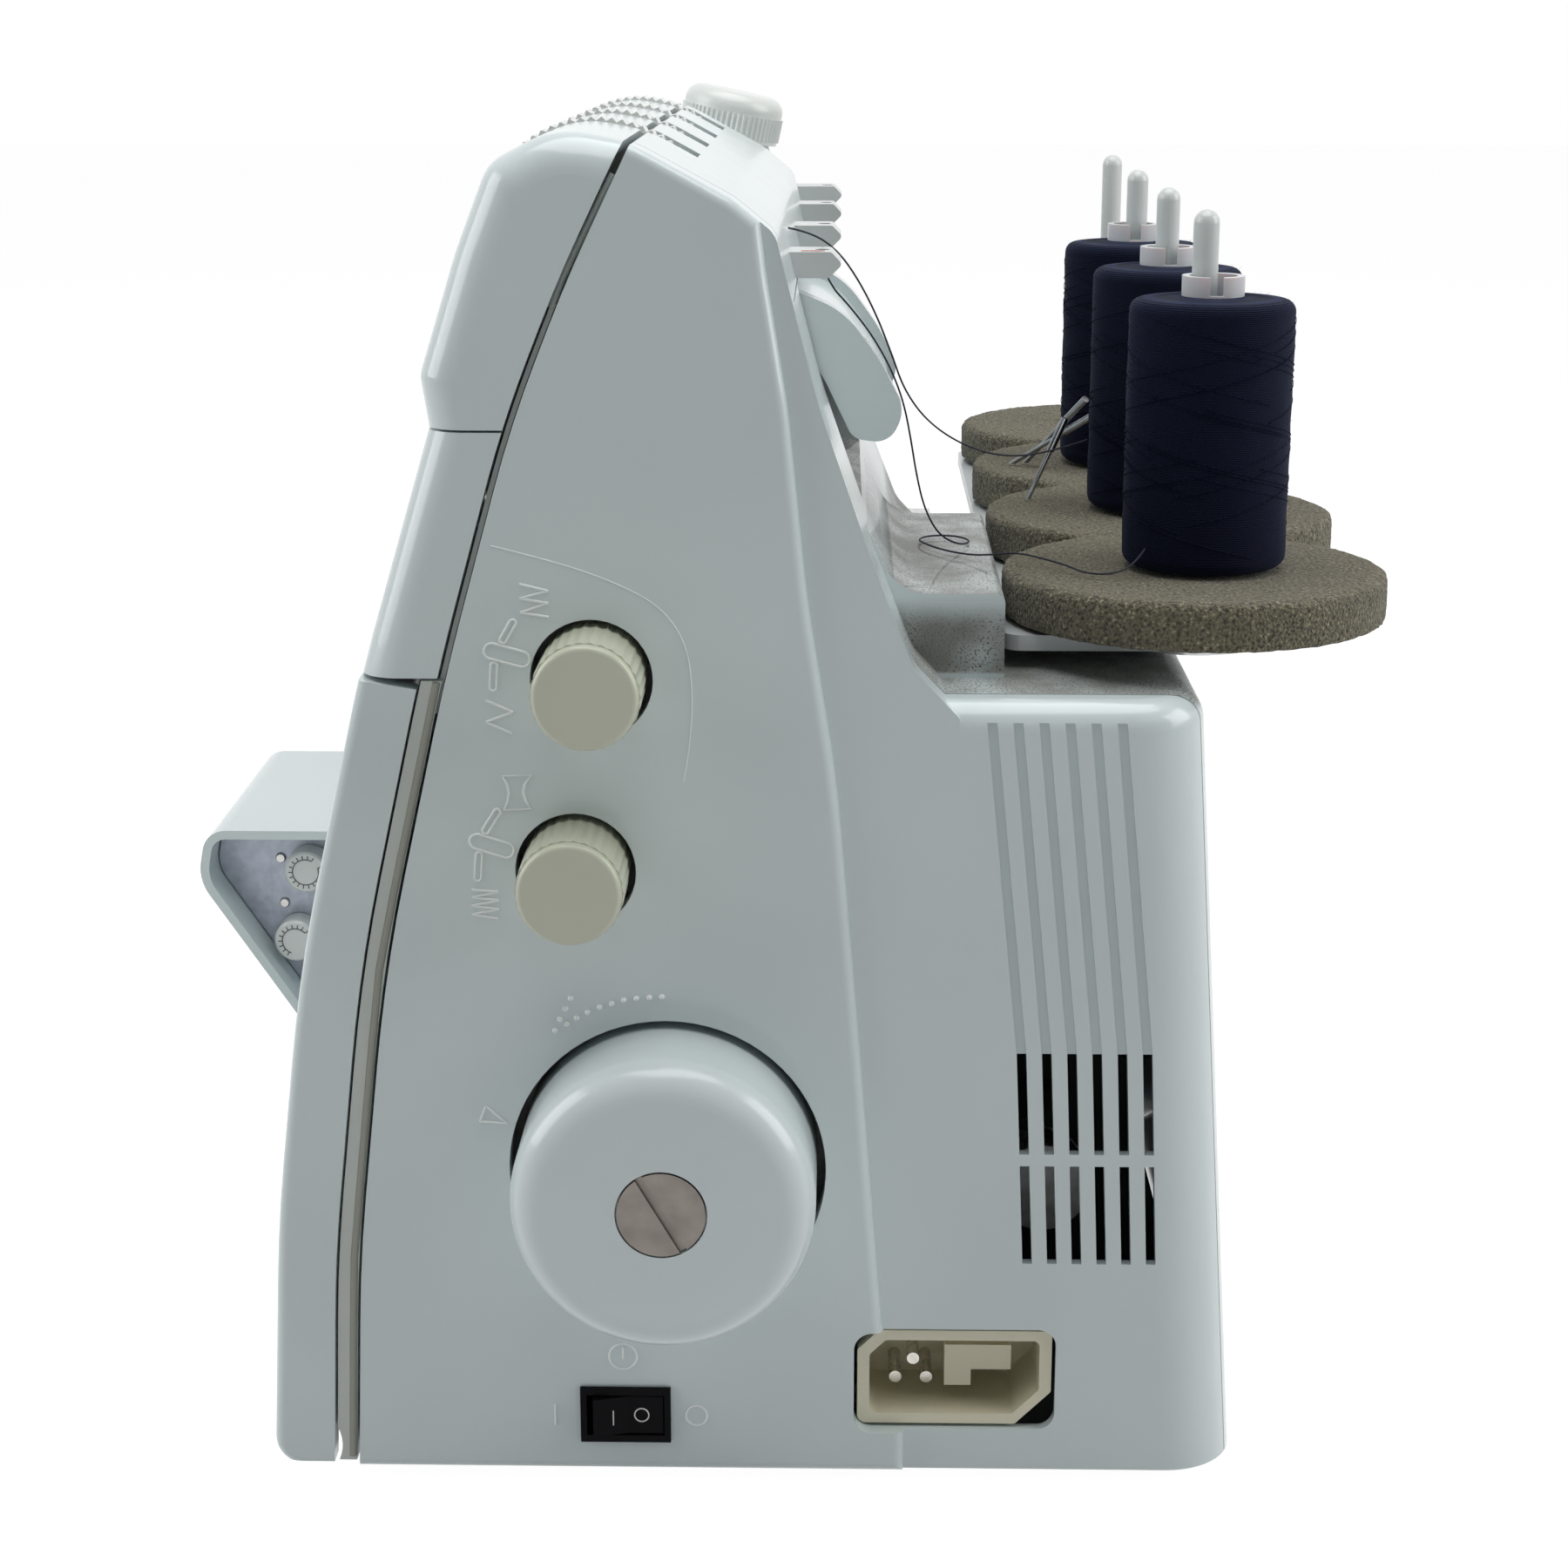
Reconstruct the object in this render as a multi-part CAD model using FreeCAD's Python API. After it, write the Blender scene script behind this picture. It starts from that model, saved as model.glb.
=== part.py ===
"""Home serger (overlock machine) with its thread stand, three spools and drive.

Millimetres. +Z is up, the operator sits at -Y, the handwheel is at +X, and the
origin is on the table under the middle of the machine. Outlines of the housing
are side views: lists of (y, z, corner radius) that are extruded along X.
"""

import FreeCAD, Part
import math
import os

V = FreeCAD.Vector
os.makedirs("parts", exist_ok=True)

# Housing
RIGHT_X = 158.0
LEFT_X = -182.0
COLUMN_X = -62.0
PANEL_STEP = 2.5
WALL = 2.6
SEAM = 0.5
FLOOR_Z = 3.5
BED_Z = 88.0
HEAD_Z = 150.0
REAR_TOP_Z = 181.0
RIGHT_COVER_DEPTH = 12.0
EDGE_ROUND = 4.0
SOFT_EDGE = 8.0
UPPER_SEAM_Z = 238.3
MIDDLE_SEAM_Z = 186.4
TOP_SEAM_Z = 263.6
FRAME_BAND = 5.4
FRONT_GAP = 1.6
COLUMN_OUTLINE = [
    (-80.0, FLOOR_Z, 0.0), (-96.0, FLOOR_Z, 8.0), (-92.6, 63.0, 400.0), (-85.1, 122.0, 400.0),
    (-69.6, 187.6, 300.0), (-54.0, UPPER_SEAM_Z, 0.0), (-55.6, 249.0, 6.0), (-47.5, 274.0, 70.0),
    (-40.5, 291.5, 9.0), (-27.0, 298.5, 24.0), (-11.8, 295.8, 30.0), (9.0, 284.6, 12.0),
    (17.4, 277.8, 6.0), (26.3, 243.0, 140.0), (37.5, 211.0, 40.0), (46.5, 188.0, 10.0),
    (56.0, 178.0, 0.0), (56.0, FLOOR_Z, 0.0),
]
HEAD_CROWN_Z = 288.0
HEAD_OUTLINE = [
    (-60.0, HEAD_Z, 9.0), (-56.5, HEAD_CROWN_Z - 50.0, 60.0), (-47.5, HEAD_CROWN_Z - 16.0, 70.0),
    (-41.0, HEAD_CROWN_Z - 3.5, 9.0), (-28.0, HEAD_CROWN_Z, 20.0), (-16.0, HEAD_CROWN_Z - 3.0, 30.0),
    (2.0, HEAD_CROWN_Z - 9.0, 20.0), (13.0, HEAD_CROWN_Z - 16.0, 12.0), (20.5, HEAD_CROWN_Z - 27.5, 20.0),
    (26.3, HEAD_CROWN_Z - 45.0, 60.0), (37.0, HEAD_CROWN_Z - 81.0, 60.0), (39.0, HEAD_Z, 9.0),
]
BED_OUTLINE = [
    (-80.0, FLOOR_Z, 0.0), (-93.0, FLOOR_Z, 8.0), (-90.0, 60.0, 120.0), (-86.0, BED_Z, 5.0),
    (64.0, BED_Z, 10.0), (68.0, FLOOR_Z, 4.0),
]
NOSE_OUTLINE = [
    (-80.0, 28.0, 0.0), (-128.5, 28.0, 6.0), (-158.0, 73.0, 14.0), (-155.0, BED_Z, 7.0), (-80.0, BED_Z, 0.0),
]
NOSE_LEFT_X = -157.0
FRONT_SEAM = [
    (-77.2, -5.0, 0.0), (-74.6, 54.8, 400.0), (-66.6, 122.0, 400.0), (-51.4, 187.8, 500.0),
    (-36.5, 240.0, 500.0), (-24.6, 269.0, 300.0), (-7.0, 305.0, 0.0),
]
CREASE = [
    (12.0, 300.0, 0.0), (15.6, 270.0, 60.0), (20.0, 243.0, 120.0), (24.0, 203.5, 200.0),
    (30.4, 164.0, 300.0), (35.4, 106.0, 400.0), (41.0, 38.0, 4.0), (46.0, 32.0, 4.0), (46.0, -6.0, 0.0),
]
HINGE_YZ = (-90.0, 9.0)
HINGE_R = 1.5
HINGE_SWEEP_R = 9.6
HINGE_LUGS_X = ((-52.0, -42.0), (30.0, 50.0), (132.0, 142.0))
HINGE_KNUCKLES_X = ((-40.0, -20.0), (110.0, 130.0))

# Motor housing at the rear
REAR_Y = 121.0
REAR_LEAN = 12.5
REAR_CORNER_ROUND = 16.0
REAR_TOP_ROUND = 6.0
REAR_START_Y = 20.0
SLOT_COUNT = 6
SLOT_PITCH = 5.45
SLOT_WIDTH = 2.1
SLOT_ROWS = [(103.0, 79.8), (77.1, 53.8)]
SLOT_FIRST_Y = 70.6
SLOT_TOP_Z = 103.0
SLOT_LEAN = 0.047
GROOVE_TOP_Z = 177.0
GROOVE_LEAN = 0.105
GROOVE_DEPTH = 0.9

# Neck that carries the thread stand, and the handle over its recess
NECK_X = (31.0, 131.0)
NECK_TOP_Z = 199.5
NECK_END_Y = 66.5
HANDLE_X = (27.0, 108.0)
HANDLE_RIM = 6.0
HANDLE_STEP = 2.2
HANDLE_OUTLINE = [
    (8.9, 261.0, 0.0), (20.0, 262.3, 4.0), (31.5, 257.5, 30.0), (39.5, 246.5, 40.0), (45.0, 236.0, 10.0),
    (41.5, 228.6, 5.0), (33.5, 229.6, 4.0), (25.5, 246.0, 40.0), (17.0, 253.0, 20.0), (8.9, 252.0, 0.0),
]
RECESS_OUTLINE = [
    (60.0, 262.8, 0.0), (8.5, 262.8, 3.0), (8.5, 246.0, 20.0), (19.0, 222.0, 8.0), (60.0, 209.0, 0.0),
]
RECESS_MARGIN = 1.0
GUIDE_WIDTH = 14.0
GUIDE_OUTLINE = [
    (10.0, 264.6, 0.0), (28.0, 264.6, 1.0), (31.0, 267.6, 1.0), (28.5, 270.2, 1.0), (10.0, 270.2, 0.0),
]
GUIDE_EYE = (26.5, 1.6)

# Right panel fittings
KNOB_R = 11.4
KNOB_HOLE_R = 12.85
KNOB_PROUD = 17.0
KNOB_STEM_R = 4.0
KNOB_SUNK = 8.0
KNOB_SCALLOPS = 30
STITCH_KNOB = (-20.9, 186.5)
FEED_KNOB = (-25.0, 144.7)
RUNNING = 0.06
WHEEL = (-6.2, 76.6)
WHEEL_R = 32.6
WHEEL_HOLE_R = 34.6
WHEEL_PROUD = 24.0
WHEEL_INNER_X = 142.0
WHEEL_ROUND = 7.0
HUB_R = 12.0
PULLEY_X = (116.0, 128.0)
PULLEY_R = 27.0
BELT_WIDTH = 7.0
BELT_THICK = 2.0
BELT_GAP = 0.4
SHAFT_R = 5.0
SHAFT_LEFT_X = -80.0
MOTOR_YZ = (78.0, 60.0)
MOTOR_R = 27.0
MOTOR_X = (20.0, 92.0)
MOTOR_PULLEY_R = 8.0
MOTOR_SHAFT_R = 3.0
FLANGE = 1.5
SHAFT_END_X = 150.0
SCREW_R = 3.0
SCREW_HEAD_R = 9.4
SCREW_HEAD_H = 1.6
SCREW_SLOT = 1.7
SLOT_TURN = -60.0
SWITCH_YZ = (-16.2, 17.7)
SWITCH_SIZE = (20.2, 13.2)
SWITCH_DEPTH = 20.0
SWITCH_BEZEL = 1.0
SWITCH_FLANGE = 0.8
ROCKER_SIZE = (15.6, 9.0)
ROCKER_TILT = 8.0
ROCKER_PIVOT_DEPTH = 3.0
INLET_YZ = (57.3, 25.6)
INLET_SIZE = (45.0, 24.4)
INLET_CORNER = 4.0
INLET_SOCKET = (38.0, 18.0)
INLET_DEPTH = 24.0
INLET_PIN_R = 1.4
INLET_PIN_LENGTH = 12.0
INLET_PINS = ((-9.0, 0.0), (-6.0, -4.6), (-13.0, -4.6))
INLET_SUNK = 1.0
INLET_FLOOR = 3.0

# Tension dials
TENSION_X = (93.0, 48.0, 3.0, -42.0)
TENSION_AXIS = (-23.0, 272.0)
TENSION_R = 26.5
TENSION_WIDTH = 11.0
TENSION_TEETH = 72
SPINDLE_R = 3.0
DIAL_SLOT_GAP = 1.0

# Cast frame
FRAME_PLATES_X = ((104.0, 112.0), (-56.0, -48.0))
FRAME_OUTLINE = [
    (-60.0, 7.0, 0.0), (-52.0, 120.0, 0.0), (-42.0, 188.0, 0.0), (-36.0, 282.0, 0.0), (-12.0, 282.0, 0.0),
    (2.0, 262.0, 0.0), (9.0, 230.0, 0.0), (16.0, 205.0, 0.0), (36.0, 120.0, 0.0), (40.0, 7.0, 0.0),
]
FRAME_FLOOR = 6.0
FRAME_INSET = 10.0
SWITCH_ROOM = 4.0
GUIDE_BLOCK_REACH = 20.0
PAN_THICK = 3.5
BRIDGE_Y = (-59.0, 44.0)
FOOT_R = 9.0
FOOT_PLACES = ((-160, -64), (-160, 44), (136, -64), (136, 100), (-42, 100))
PAN_SCREWS = ((-140, -40), (-140, 20), (-20, -40), (-20, 20), (120, -40), (120, 20))
BUSH_R = 8.0

# Needle head, tilted back at the top
BAR_TILT = 12.0
BAR_TOP = (-1.8, 290.0)
PRESSER_X = -127.0
NEEDLE_X = -108.0
BAR_R = 4.0
HEAD_WINDOW = (7.5, 12.0)
PRESSER_BAR_Z = (104.0, HEAD_CROWN_Z - 34.0)
COLLAR_R = 7.0
CLAMP_R = 6.0
CLAMP_Z = (125.0, 139.0)
NEEDLE_BAR_TOP_Z = HEAD_CROWN_Z - 26.0
NEEDLE_TIP_Z = 92.0
NEEDLE_R = 0.55
NEEDLE_SPREAD = 2.4
NEEDLE_SLOT_Y = (-50.0, -40.0)
NEEDLE_SLOT_HALF = 5.0
SOLE_X = (-141.0, -100.0)
SOLE_Y = (-74.0, -28.0)
SOLE_THICK = 2.4
SOLE_GAP = 0.8
TOE_LEAN = 24.0
GUIDE_BLOCKS = ((-48.0, 0.0, 160.0, 172.0), (-34.0, 12.0, HEAD_CROWN_Z - 60.0, HEAD_CROWN_Z - 48.0))
BOSS_R = (20.0, 12.5)
BOSS_H = 15.7
BOSS_SUNK = 20.0
BOSS_FOOT_Z = HEAD_CROWN_Z - BOSS_SUNK
PRESSURE_KNOB_R = 15.0
PRESSURE_KNOB_H = 13.0
PRESSURE_KNOB_ROUND = 4.5
PRESSURE_KNOB_TOP_Z = BOSS_FOOT_Z + BOSS_H + SEAM + PRESSURE_KNOB_H
PRESSURE_STEM_R = 5.9
PRESSURE_STEM_DIP = 6.0
PRESSURE_RIBS = 60
PRESSURE_RIB_DEPTH = 0.7
PRESSURE_RIB_FOOT = 1.0
PRESSURE_RIB_H = 6.5

# Stitch forming parts below the bed
PLATE_X = (-149.6, -95.4)
PLATE_Y = (-79.6, -5.4)
PLATE_THICK = 3.0
PLATE_GAP = 0.4
PLATE_PROUD = 0.4
LOOPER_AXIS = (-20.0, 40.0)
KNIFE_AXIS = (30.0, 52.0)
LOW_SHAFT_R = 3.0
LOW_POSTS_X = ((-121.0, -115.0), (-72.0, -66.0))
LOW_POST_HALF = 7.0
FEED_POST_HALF = 5.0
FEED_POST_SET = 4.0
FEED_POST_DROP = 16.4
UPPER_LOOPER_X = (-101.5, -98.0)
LOWER_LOOPER_X = (-95.0, -91.5)
KNIFE_X = (-87.0, -83.0)
KNIFE_ARM_HALF = 6.0
KNIFE_BLADE_Y = (-47.0, -38.0)
KNIFE_ELBOW_Z = (58.0, 66.0)
KNIFE_RISE = (8.0, 11.0)
KNIFE_BENDS = (4.0, 6.0)
KNIFE_SLOT_Y = (-58.0, -26.0)
FEED_X = ((-141.0, -137.0), (-122.0, -118.0))
FEED_Y = (-62.0, -34.0)
FEED_TRAVEL = 3.5
FEED_PITCH = 2.0
UPPER_LOOPER_TIP = (-36.0, 80.0)
LOWER_LOOPER_TIP = (-32.0, 74.0)
ARM_EYE_R = 7.0
LIFTER_AXIS = (-38.0, 192.0)
LIFTER_X = (-121.5, -117.5)
LIFTER_PIN_R = 2.5
LIFTER_SLOT_Y = (20.0, 60.0)
LIFTER_SLOT_Z = (165.0, 207.0)
LIFTER_ARM_HALF = 4.0
LIFTER_EYE_WALL = 3.0
LIFTER_EAR_HALF = 6.0
LIFTER_EAR_Z = (-0.6, 0.4)
LIFTER_BENDS = (2.0, 4.0)
LIFTER_TAB_LAP = 4.0
LIFTER_TAB_SIDE = 6.0
LIFTER_CHEEK = (1.0, 4.5)
LIFTER_CHEEK_HALF = 5.0
LIFTER_TAB_Y = (46.0, 58.0)
LIFTER_TAB_Z = (168.0, 173.0)
NOSE_DIALS = ((-127.0, 74.0), (-131.0, 52.5))
NOSE_DIAL_R = 6.3
NOSE_PLATE_X = (-78.0, -75.5)

# Thread stand
PIN_PITCH = 75.0
PIN_FIRST_X = 100.5
PIN_COUNT = 4
PIN_Y = 110.5
PIN_R = 2.85
PIN_FOOT_R = 3.6
PIN_CLEARANCE = 0.3
PIN_TOP_Z = 279.0
MAT_Z = (188.5, 200.5)
MAT_LOBE_R = 43.7
TRAY_X = (-142.0, 122.0)
TRAY_Y = (67.0, 122.0)
TRAY_THICK = 3.5
POST_R = 7.0
POST_PLACES = ((-20.0, 84.0), (62.0, 84.0))
DISH_R = 30.0
DISH_FOOT_R = 15.0
DISH_DROP = 5.9
SPOOL_SHIFT = ((0.4, 1.9), (-0.3, 0.4), (0.8, -0.9))
SPOOL_R = 18.2
SPOOL_H = 59.0
CORE_R = 6.9
CORE_BORE_R = 5.3
CORE_H = 64.0
CORE_NOTCH = (3.0, 4.0)
SPOOL_GAP = 0.3
SHOULDER = 4.0
SPARE_NEEDLES = [
    ((15.0, 78.6, MAT_Z[1]), (15.0, 87.5, 221.0)),
    ((-42.0, 77.8, MAT_Z[1]), (-24.0, 100.4, 217.7)),
    ((-43.0, 81.5, MAT_Z[1]), (-25.0, 96.0, 220.5)),
]

# Loose threads from the guides over the handle to the spools
THREAD_D = 0.45
THREAD_1 = [
    (92.0, 18.9, 274.2), (88.0, 24.0, 272.9), (82.5, 29.8, 268.6), (76.0, 34.6, 261.4), (70.0, 39.0, 252.5),
    (64.5, 42.6, 243.0), (59.0, 45.8, 233.8), (52.5, 51.5, 225.5), (46.0, 60.0, 219.0), (39.5, 70.0, 215.0),
    (32.5, 81.5, 214.7), (26.5, 92.2, 217.3),
]
THREAD_2 = [
    (100.5, 26.5, 267.0), (99.6, 28.2, 262.4), (97.5, 32.4, 257.8), (95.0, 37.3, 251.4), (93.0, 41.6, 244.0),
    (91.5, 44.8, 236.0), (90.0, 46.6, 227.5), (88.5, 48.0, 219.0), (87.0, 50.0, 210.5), (84.5, 53.5, 203.8),
    (80.0, 58.6, 200.6), (73.0, 61.8, 200.2), (66.5, 58.8, 200.3), (65.0, 52.6, 200.2), (70.5, 49.0, 200.3),
    (77.5, 50.2, 200.6), (85.5, 54.5, 200.5), (92.5, 60.5, 200.7), (98.0, 65.0, 201.8), (101.5, 70.5, 203.1),
    (104.5, 77.0, 202.1), (109.5, 82.0, 201.4), (115.5, 84.5, 201.2), (118.5, 90.0, 201.4),
    (116.5, 95.2, 202.8), (113.0, 98.1, 206.1),
]


def rounded_edges(corners, closed):
    """Straight runs joined by tangent arcs through a list of (y, z, radius) corners, in the plane x = 0."""
    points = [V(0, y, z) for y, z, r in corners]
    count = len(points)
    cuts = []
    for i, (y, z, radius) in enumerate(corners):
        here = points[i]
        if radius == 0 or (not closed and i in (0, count - 1)):
            cuts.append((here, here, here))
            continue
        back = points[i - 1] - here
        ahead = points[(i + 1) % count] - here
        half = back.getAngle(ahead) / 2
        reach = min(radius / math.tan(half), 0.45 * back.Length, 0.45 * ahead.Length)
        back.normalize()
        ahead.normalize()
        bisector = back + ahead
        bisector.normalize()
        radius = reach * math.tan(half)
        middle = here + bisector * (radius / math.sin(half) - radius)
        cuts.append((here + back * reach, middle, here + ahead * reach))
    edges = []
    for i in range(count if closed else count - 1):
        start, middle, end = cuts[i]
        if (end - start).Length > 1e-6:
            edges.append(Part.Arc(start, middle, end).toShape())
        following = cuts[(i + 1) % count][0]
        edges.append(Part.makeLine(end, following))
    if not closed and (cuts[-1][2] - cuts[-1][0]).Length > 1e-6:
        edges.append(Part.Arc(*cuts[-1]).toShape())
    return edges


def prism(corners, x0, x1, inset=0.0):
    """The closed outline, moved inwards by inset, as a solid from x0 to x1."""
    wire = Part.Wire(rounded_edges(corners, True))
    if inset:
        face = Part.Face(wire)
        wire = face.makeOffset2D(-inset).OuterWire
    wire.translate(V(x0, 0, 0))
    return Part.Face(wire).extrude(V(x1 - x0, 0, 0))


def block(x0, x1, y0, y1, z0, z1):
    return Part.makeBox(x1 - x0, y1 - y0, z1 - z0, V(x0, y0, z0))


def rod_x(radius, x0, x1, yz):
    return Part.makeCylinder(radius, x1 - x0, V(x0, yz[0], yz[1]), V(1, 0, 0))


def toothed(radius, depth, teeth, start, along):
    """A disc with a ribbed rim, from a start point along a direction whose length is its thickness."""
    corners = []
    for i in range(2 * teeth):
        r = radius if i % 2 else radius - depth
        angle = math.pi * i / teeth
        corners.append(V(r * math.cos(angle), r * math.sin(angle), 0))
    disc = Part.Face(Part.makePolygon(corners + corners[:1])).extrude(V(0, 0, along.Length))
    disc.Placement = FreeCAD.Placement(start, FreeCAD.Rotation(V(0, 0, 1), along))
    return disc


def union(*shapes):
    whole = shapes[0].fuse(list(shapes[1:]))
    return whole.removeSplitter()


def keep_largest(shape):
    return max(shape.Solids, key=lambda solid: solid.Volume)


def front_of(curve, shift):
    """Everything in front of an open side-view curve that is moved by shift along Y."""
    moved = [(y + shift, z, r) for y, z, r in curve]
    edges = rounded_edges(moved, False)
    first = edges[0].Vertexes[0].Point
    last = edges[-1].Vertexes[-1].Point
    far = [V(0, -300, last.z), V(0, -300, first.z)]
    edges += [Part.makeLine(last, far[0]), Part.makeLine(far[0], far[1]), Part.makeLine(far[1], first)]
    wire = Part.Wire(edges)
    wire.translate(V(2 * LEFT_X, 0, 0))
    return Part.Face(wire).extrude(V(2 * (RIGHT_X - LEFT_X), 0, 0))


def end_edges(solid, x):
    """The edges of a prism that lie in the plane at x."""
    return [e for e in solid.Edges if abs(e.BoundBox.XMin - x) < 1e-4 and abs(e.BoundBox.XMax - x) < 1e-4]


def rear_housing(inset):
    """Motor housing behind the column: a plan outline with round rear corners that leans forward."""
    x0 = COLUMN_X + inset
    x1 = RIGHT_X - PANEL_STEP - inset
    y1 = REAR_Y - inset
    r = REAR_CORNER_ROUND - inset
    z0 = FLOOR_Z if inset == 0 else FLOOR_Z - 1
    corner = r * (1 - math.sqrt(0.5))
    a, b = V(x1, REAR_START_Y, z0), V(x1, y1 - r, z0)
    c, d = V(x1 - r, y1, z0), V(x0 + r, y1, z0)
    e, f = V(x0, y1 - r, z0), V(x0, REAR_START_Y, z0)
    edges = [
        Part.makeLine(a, b), Part.Arc(b, V(x1 - corner, y1 - corner, z0), c).toShape(), Part.makeLine(c, d),
        Part.Arc(d, V(x0 + corner, y1 - corner, z0), e).toShape(), Part.makeLine(e, f), Part.makeLine(f, a),
    ]
    height = REAR_TOP_Z - inset - z0
    lean = -REAR_LEAN * height / (REAR_TOP_Z - FLOOR_Z)
    solid = Part.Face(Part.Wire(edges)).extrude(V(0, lean, height))
    top = [ed for ed in solid.Edges if ed.BoundBox.ZMin > REAR_TOP_Z - inset - 0.01]
    rounded = [ed for ed in top if ed.BoundBox.YMin > REAR_START_Y - REAR_LEAN + 1]
    sides = [ed for ed in top if ed.BoundBox.YLength > 20 and ed.BoundBox.XLength < 0.01]
    chosen = {ed.hashCode(): ed for ed in rounded + sides}
    return solid.makeFillet(max(REAR_TOP_ROUND - inset, 1.0), list(chosen.values()))


def housing_outer():
    panel = prism(COLUMN_OUTLINE, COLUMN_X, RIGHT_X - PANEL_STEP)
    raised = prism(COLUMN_OUTLINE, COLUMN_X, RIGHT_X).common(front_of(CREASE, 0))
    rims = [e for e in end_edges(raised, RIGHT_X) if e.BoundBox.ZMin > FLOOR_Z + 0.1]
    raised = raised.makeFillet(PANEL_STEP * 0.9, rims)
    whole = panel.fuse([raised, rear_housing(0)])
    return whole.cut(prism(RECESS_OUTLINE, HANDLE_X[0] - RECESS_MARGIN, HANDLE_X[1] + RECESS_MARGIN))


def housing_inner():
    column = prism(COLUMN_OUTLINE, COLUMN_X + WALL, RIGHT_X - PANEL_STEP - WALL, WALL)
    open_floor = block(COLUMN_X + WALL, RIGHT_X - PANEL_STEP - WALL, -84, 30, FLOOR_Z - 1, FLOOR_Z + 2 * WALL)
    x0 = HANDLE_X[0] - RECESS_MARGIN - WALL
    x1 = HANDLE_X[1] + RECESS_MARGIN + WALL
    recess = prism(RECESS_OUTLINE, x0, x1, -WALL)
    return column.fuse([open_floor, rear_housing(WALL)]).cut(recess)


def right_panel_cuts():
    """Openings of the right cover: wheel, two knobs, switch, inlet, slots and grooves."""
    x0 = RIGHT_X - 2 * RIGHT_COVER_DEPTH
    x1 = RIGHT_X + 1
    cuts = [rod_x(WHEEL_HOLE_R, x0, x1, WHEEL)]
    for place in (STITCH_KNOB, FEED_KNOB):
        cuts.append(rod_x(KNOB_HOLE_R, x0, x1, place))
    y, z = SWITCH_YZ
    w, h = SWITCH_SIZE
    cuts.append(block(x0, x1, y - w / 2 + 0.5, y + w / 2 - 0.5, z - h / 2 + 0.5, z + h / 2 - 0.5))
    y, z = INLET_YZ
    w, h = INLET_SIZE
    frame = [(y - w / 2, z - h / 2), (y + w / 2, z - h / 2), (y + w / 2, z + h / 2), (y - w / 2, z + h / 2)]
    cuts.append(prism([(a, b, INLET_CORNER) for a, b in frame], x0, x1))
    surface = RIGHT_X - PANEL_STEP
    for i in range(SLOT_COUNT):
        y_top = SLOT_FIRST_Y - SLOT_WIDTH / 2 + i * SLOT_PITCH
        for z_high, z_low in SLOT_ROWS:
            slot = []
            for zz, side in ((z_low, 0), (z_low, 1), (z_high, 1), (z_high, 0)):
                slot.append((y_top + (SLOT_TOP_Z - zz) * SLOT_LEAN + side * SLOT_WIDTH, zz, 0.0))
            cuts.append(prism(slot, x0, x1))
        groove = []
        for zz, side in ((SLOT_TOP_Z, 0), (SLOT_TOP_Z, 1), (GROOVE_TOP_Z, 1), (GROOVE_TOP_Z, 0)):
            shift = (SLOT_TOP_Z - zz) * GROOVE_LEAN
            groove.append((y_top + shift + side * SLOT_WIDTH, zz, 0.0))
        cuts.append(prism(groove, surface - GROOVE_DEPTH, x1))
    return cuts


def dial_slots():
    """Openings through which the tension dials stand out of the top and front."""
    half = TENSION_WIDTH / 2 + DIAL_SLOT_GAP
    return [rod_x(TENSION_R + 2 * DIAL_SLOT_GAP, x - half, x + half, TENSION_AXIS) for x in TENSION_X]


def column_windows():
    """Openings in the column's left wall towards the head and the bed."""
    x0, x1 = COLUMN_X - 1, COLUMN_X + WALL + 1
    windows = [block(x0, x1, y0 - 1, y1 + 1, z0 - 1, z1 + 1) for y0, y1, z0, z1 in GUIDE_BLOCKS]
    floor_top = FLOOR_Z + PAN_THICK + FRAME_FLOOR
    windows.append(block(x0, x1, BRIDGE_Y[0] - 1, BRIDGE_Y[1] + 1, FLOOR_Z - 1, floor_top + 1))
    windows.append(rod_x(SHAFT_R + 3, x0, x1, WHEEL))
    return windows


def housing_covers():
    """The column and motor housing as a thin shell, parted along its seams into covers."""
    shell = housing_outer().cut(housing_inner()).cut(right_panel_cuts() + dial_slots() + column_windows())
    gap = SEAM / 2
    split_x = RIGHT_X - RIGHT_COVER_DEPTH
    big = 400.0
    right_side = block(split_x + gap, big, -big, big, -big, big)
    left_side = block(-big, split_x - gap, -big, big, -big, big)
    behind = front_of(FRONT_SEAM, gap)
    ahead = front_of(FRONT_SEAM, -FRONT_GAP)
    back = shell.cut(behind)
    front = shell.common(ahead)
    covers = {"right_cover": keep_largest(back.common(right_side))}
    rest = back.common(left_side)
    covers["top_cover"] = keep_largest(rest.common(block(-big, big, -big, big, TOP_SEAM_Z + gap, big)))
    rear = keep_largest(rest.common(block(-big, big, -big, big, -big, TOP_SEAM_Z - gap)))
    covers["rear_cover"] = union(rear, neck())
    upper = front.common(block(-big, big, -big, big, UPPER_SEAM_Z + gap, big))
    covers["upper_front_cover"] = keep_largest(upper.cut(soft_corner(UPPER_SEAM_Z, big)))
    middle = front.common(block(-big, big, -big, big, MIDDLE_SEAM_Z + gap, UPPER_SEAM_Z - gap))
    covers["middle_front_cover"] = keep_largest(middle.cut(soft_corner(MIDDLE_SEAM_Z, UPPER_SEAM_Z)))
    looper = front.common(front_of(FRONT_SEAM, -FRAME_BAND))
    looper = looper.common(block(-big, big, -big, big, FLOOR_Z + 1.5, MIDDLE_SEAM_Z - gap))
    covers["looper_cover"] = hinged_looper_cover(keep_largest(looper))
    return covers


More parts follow.
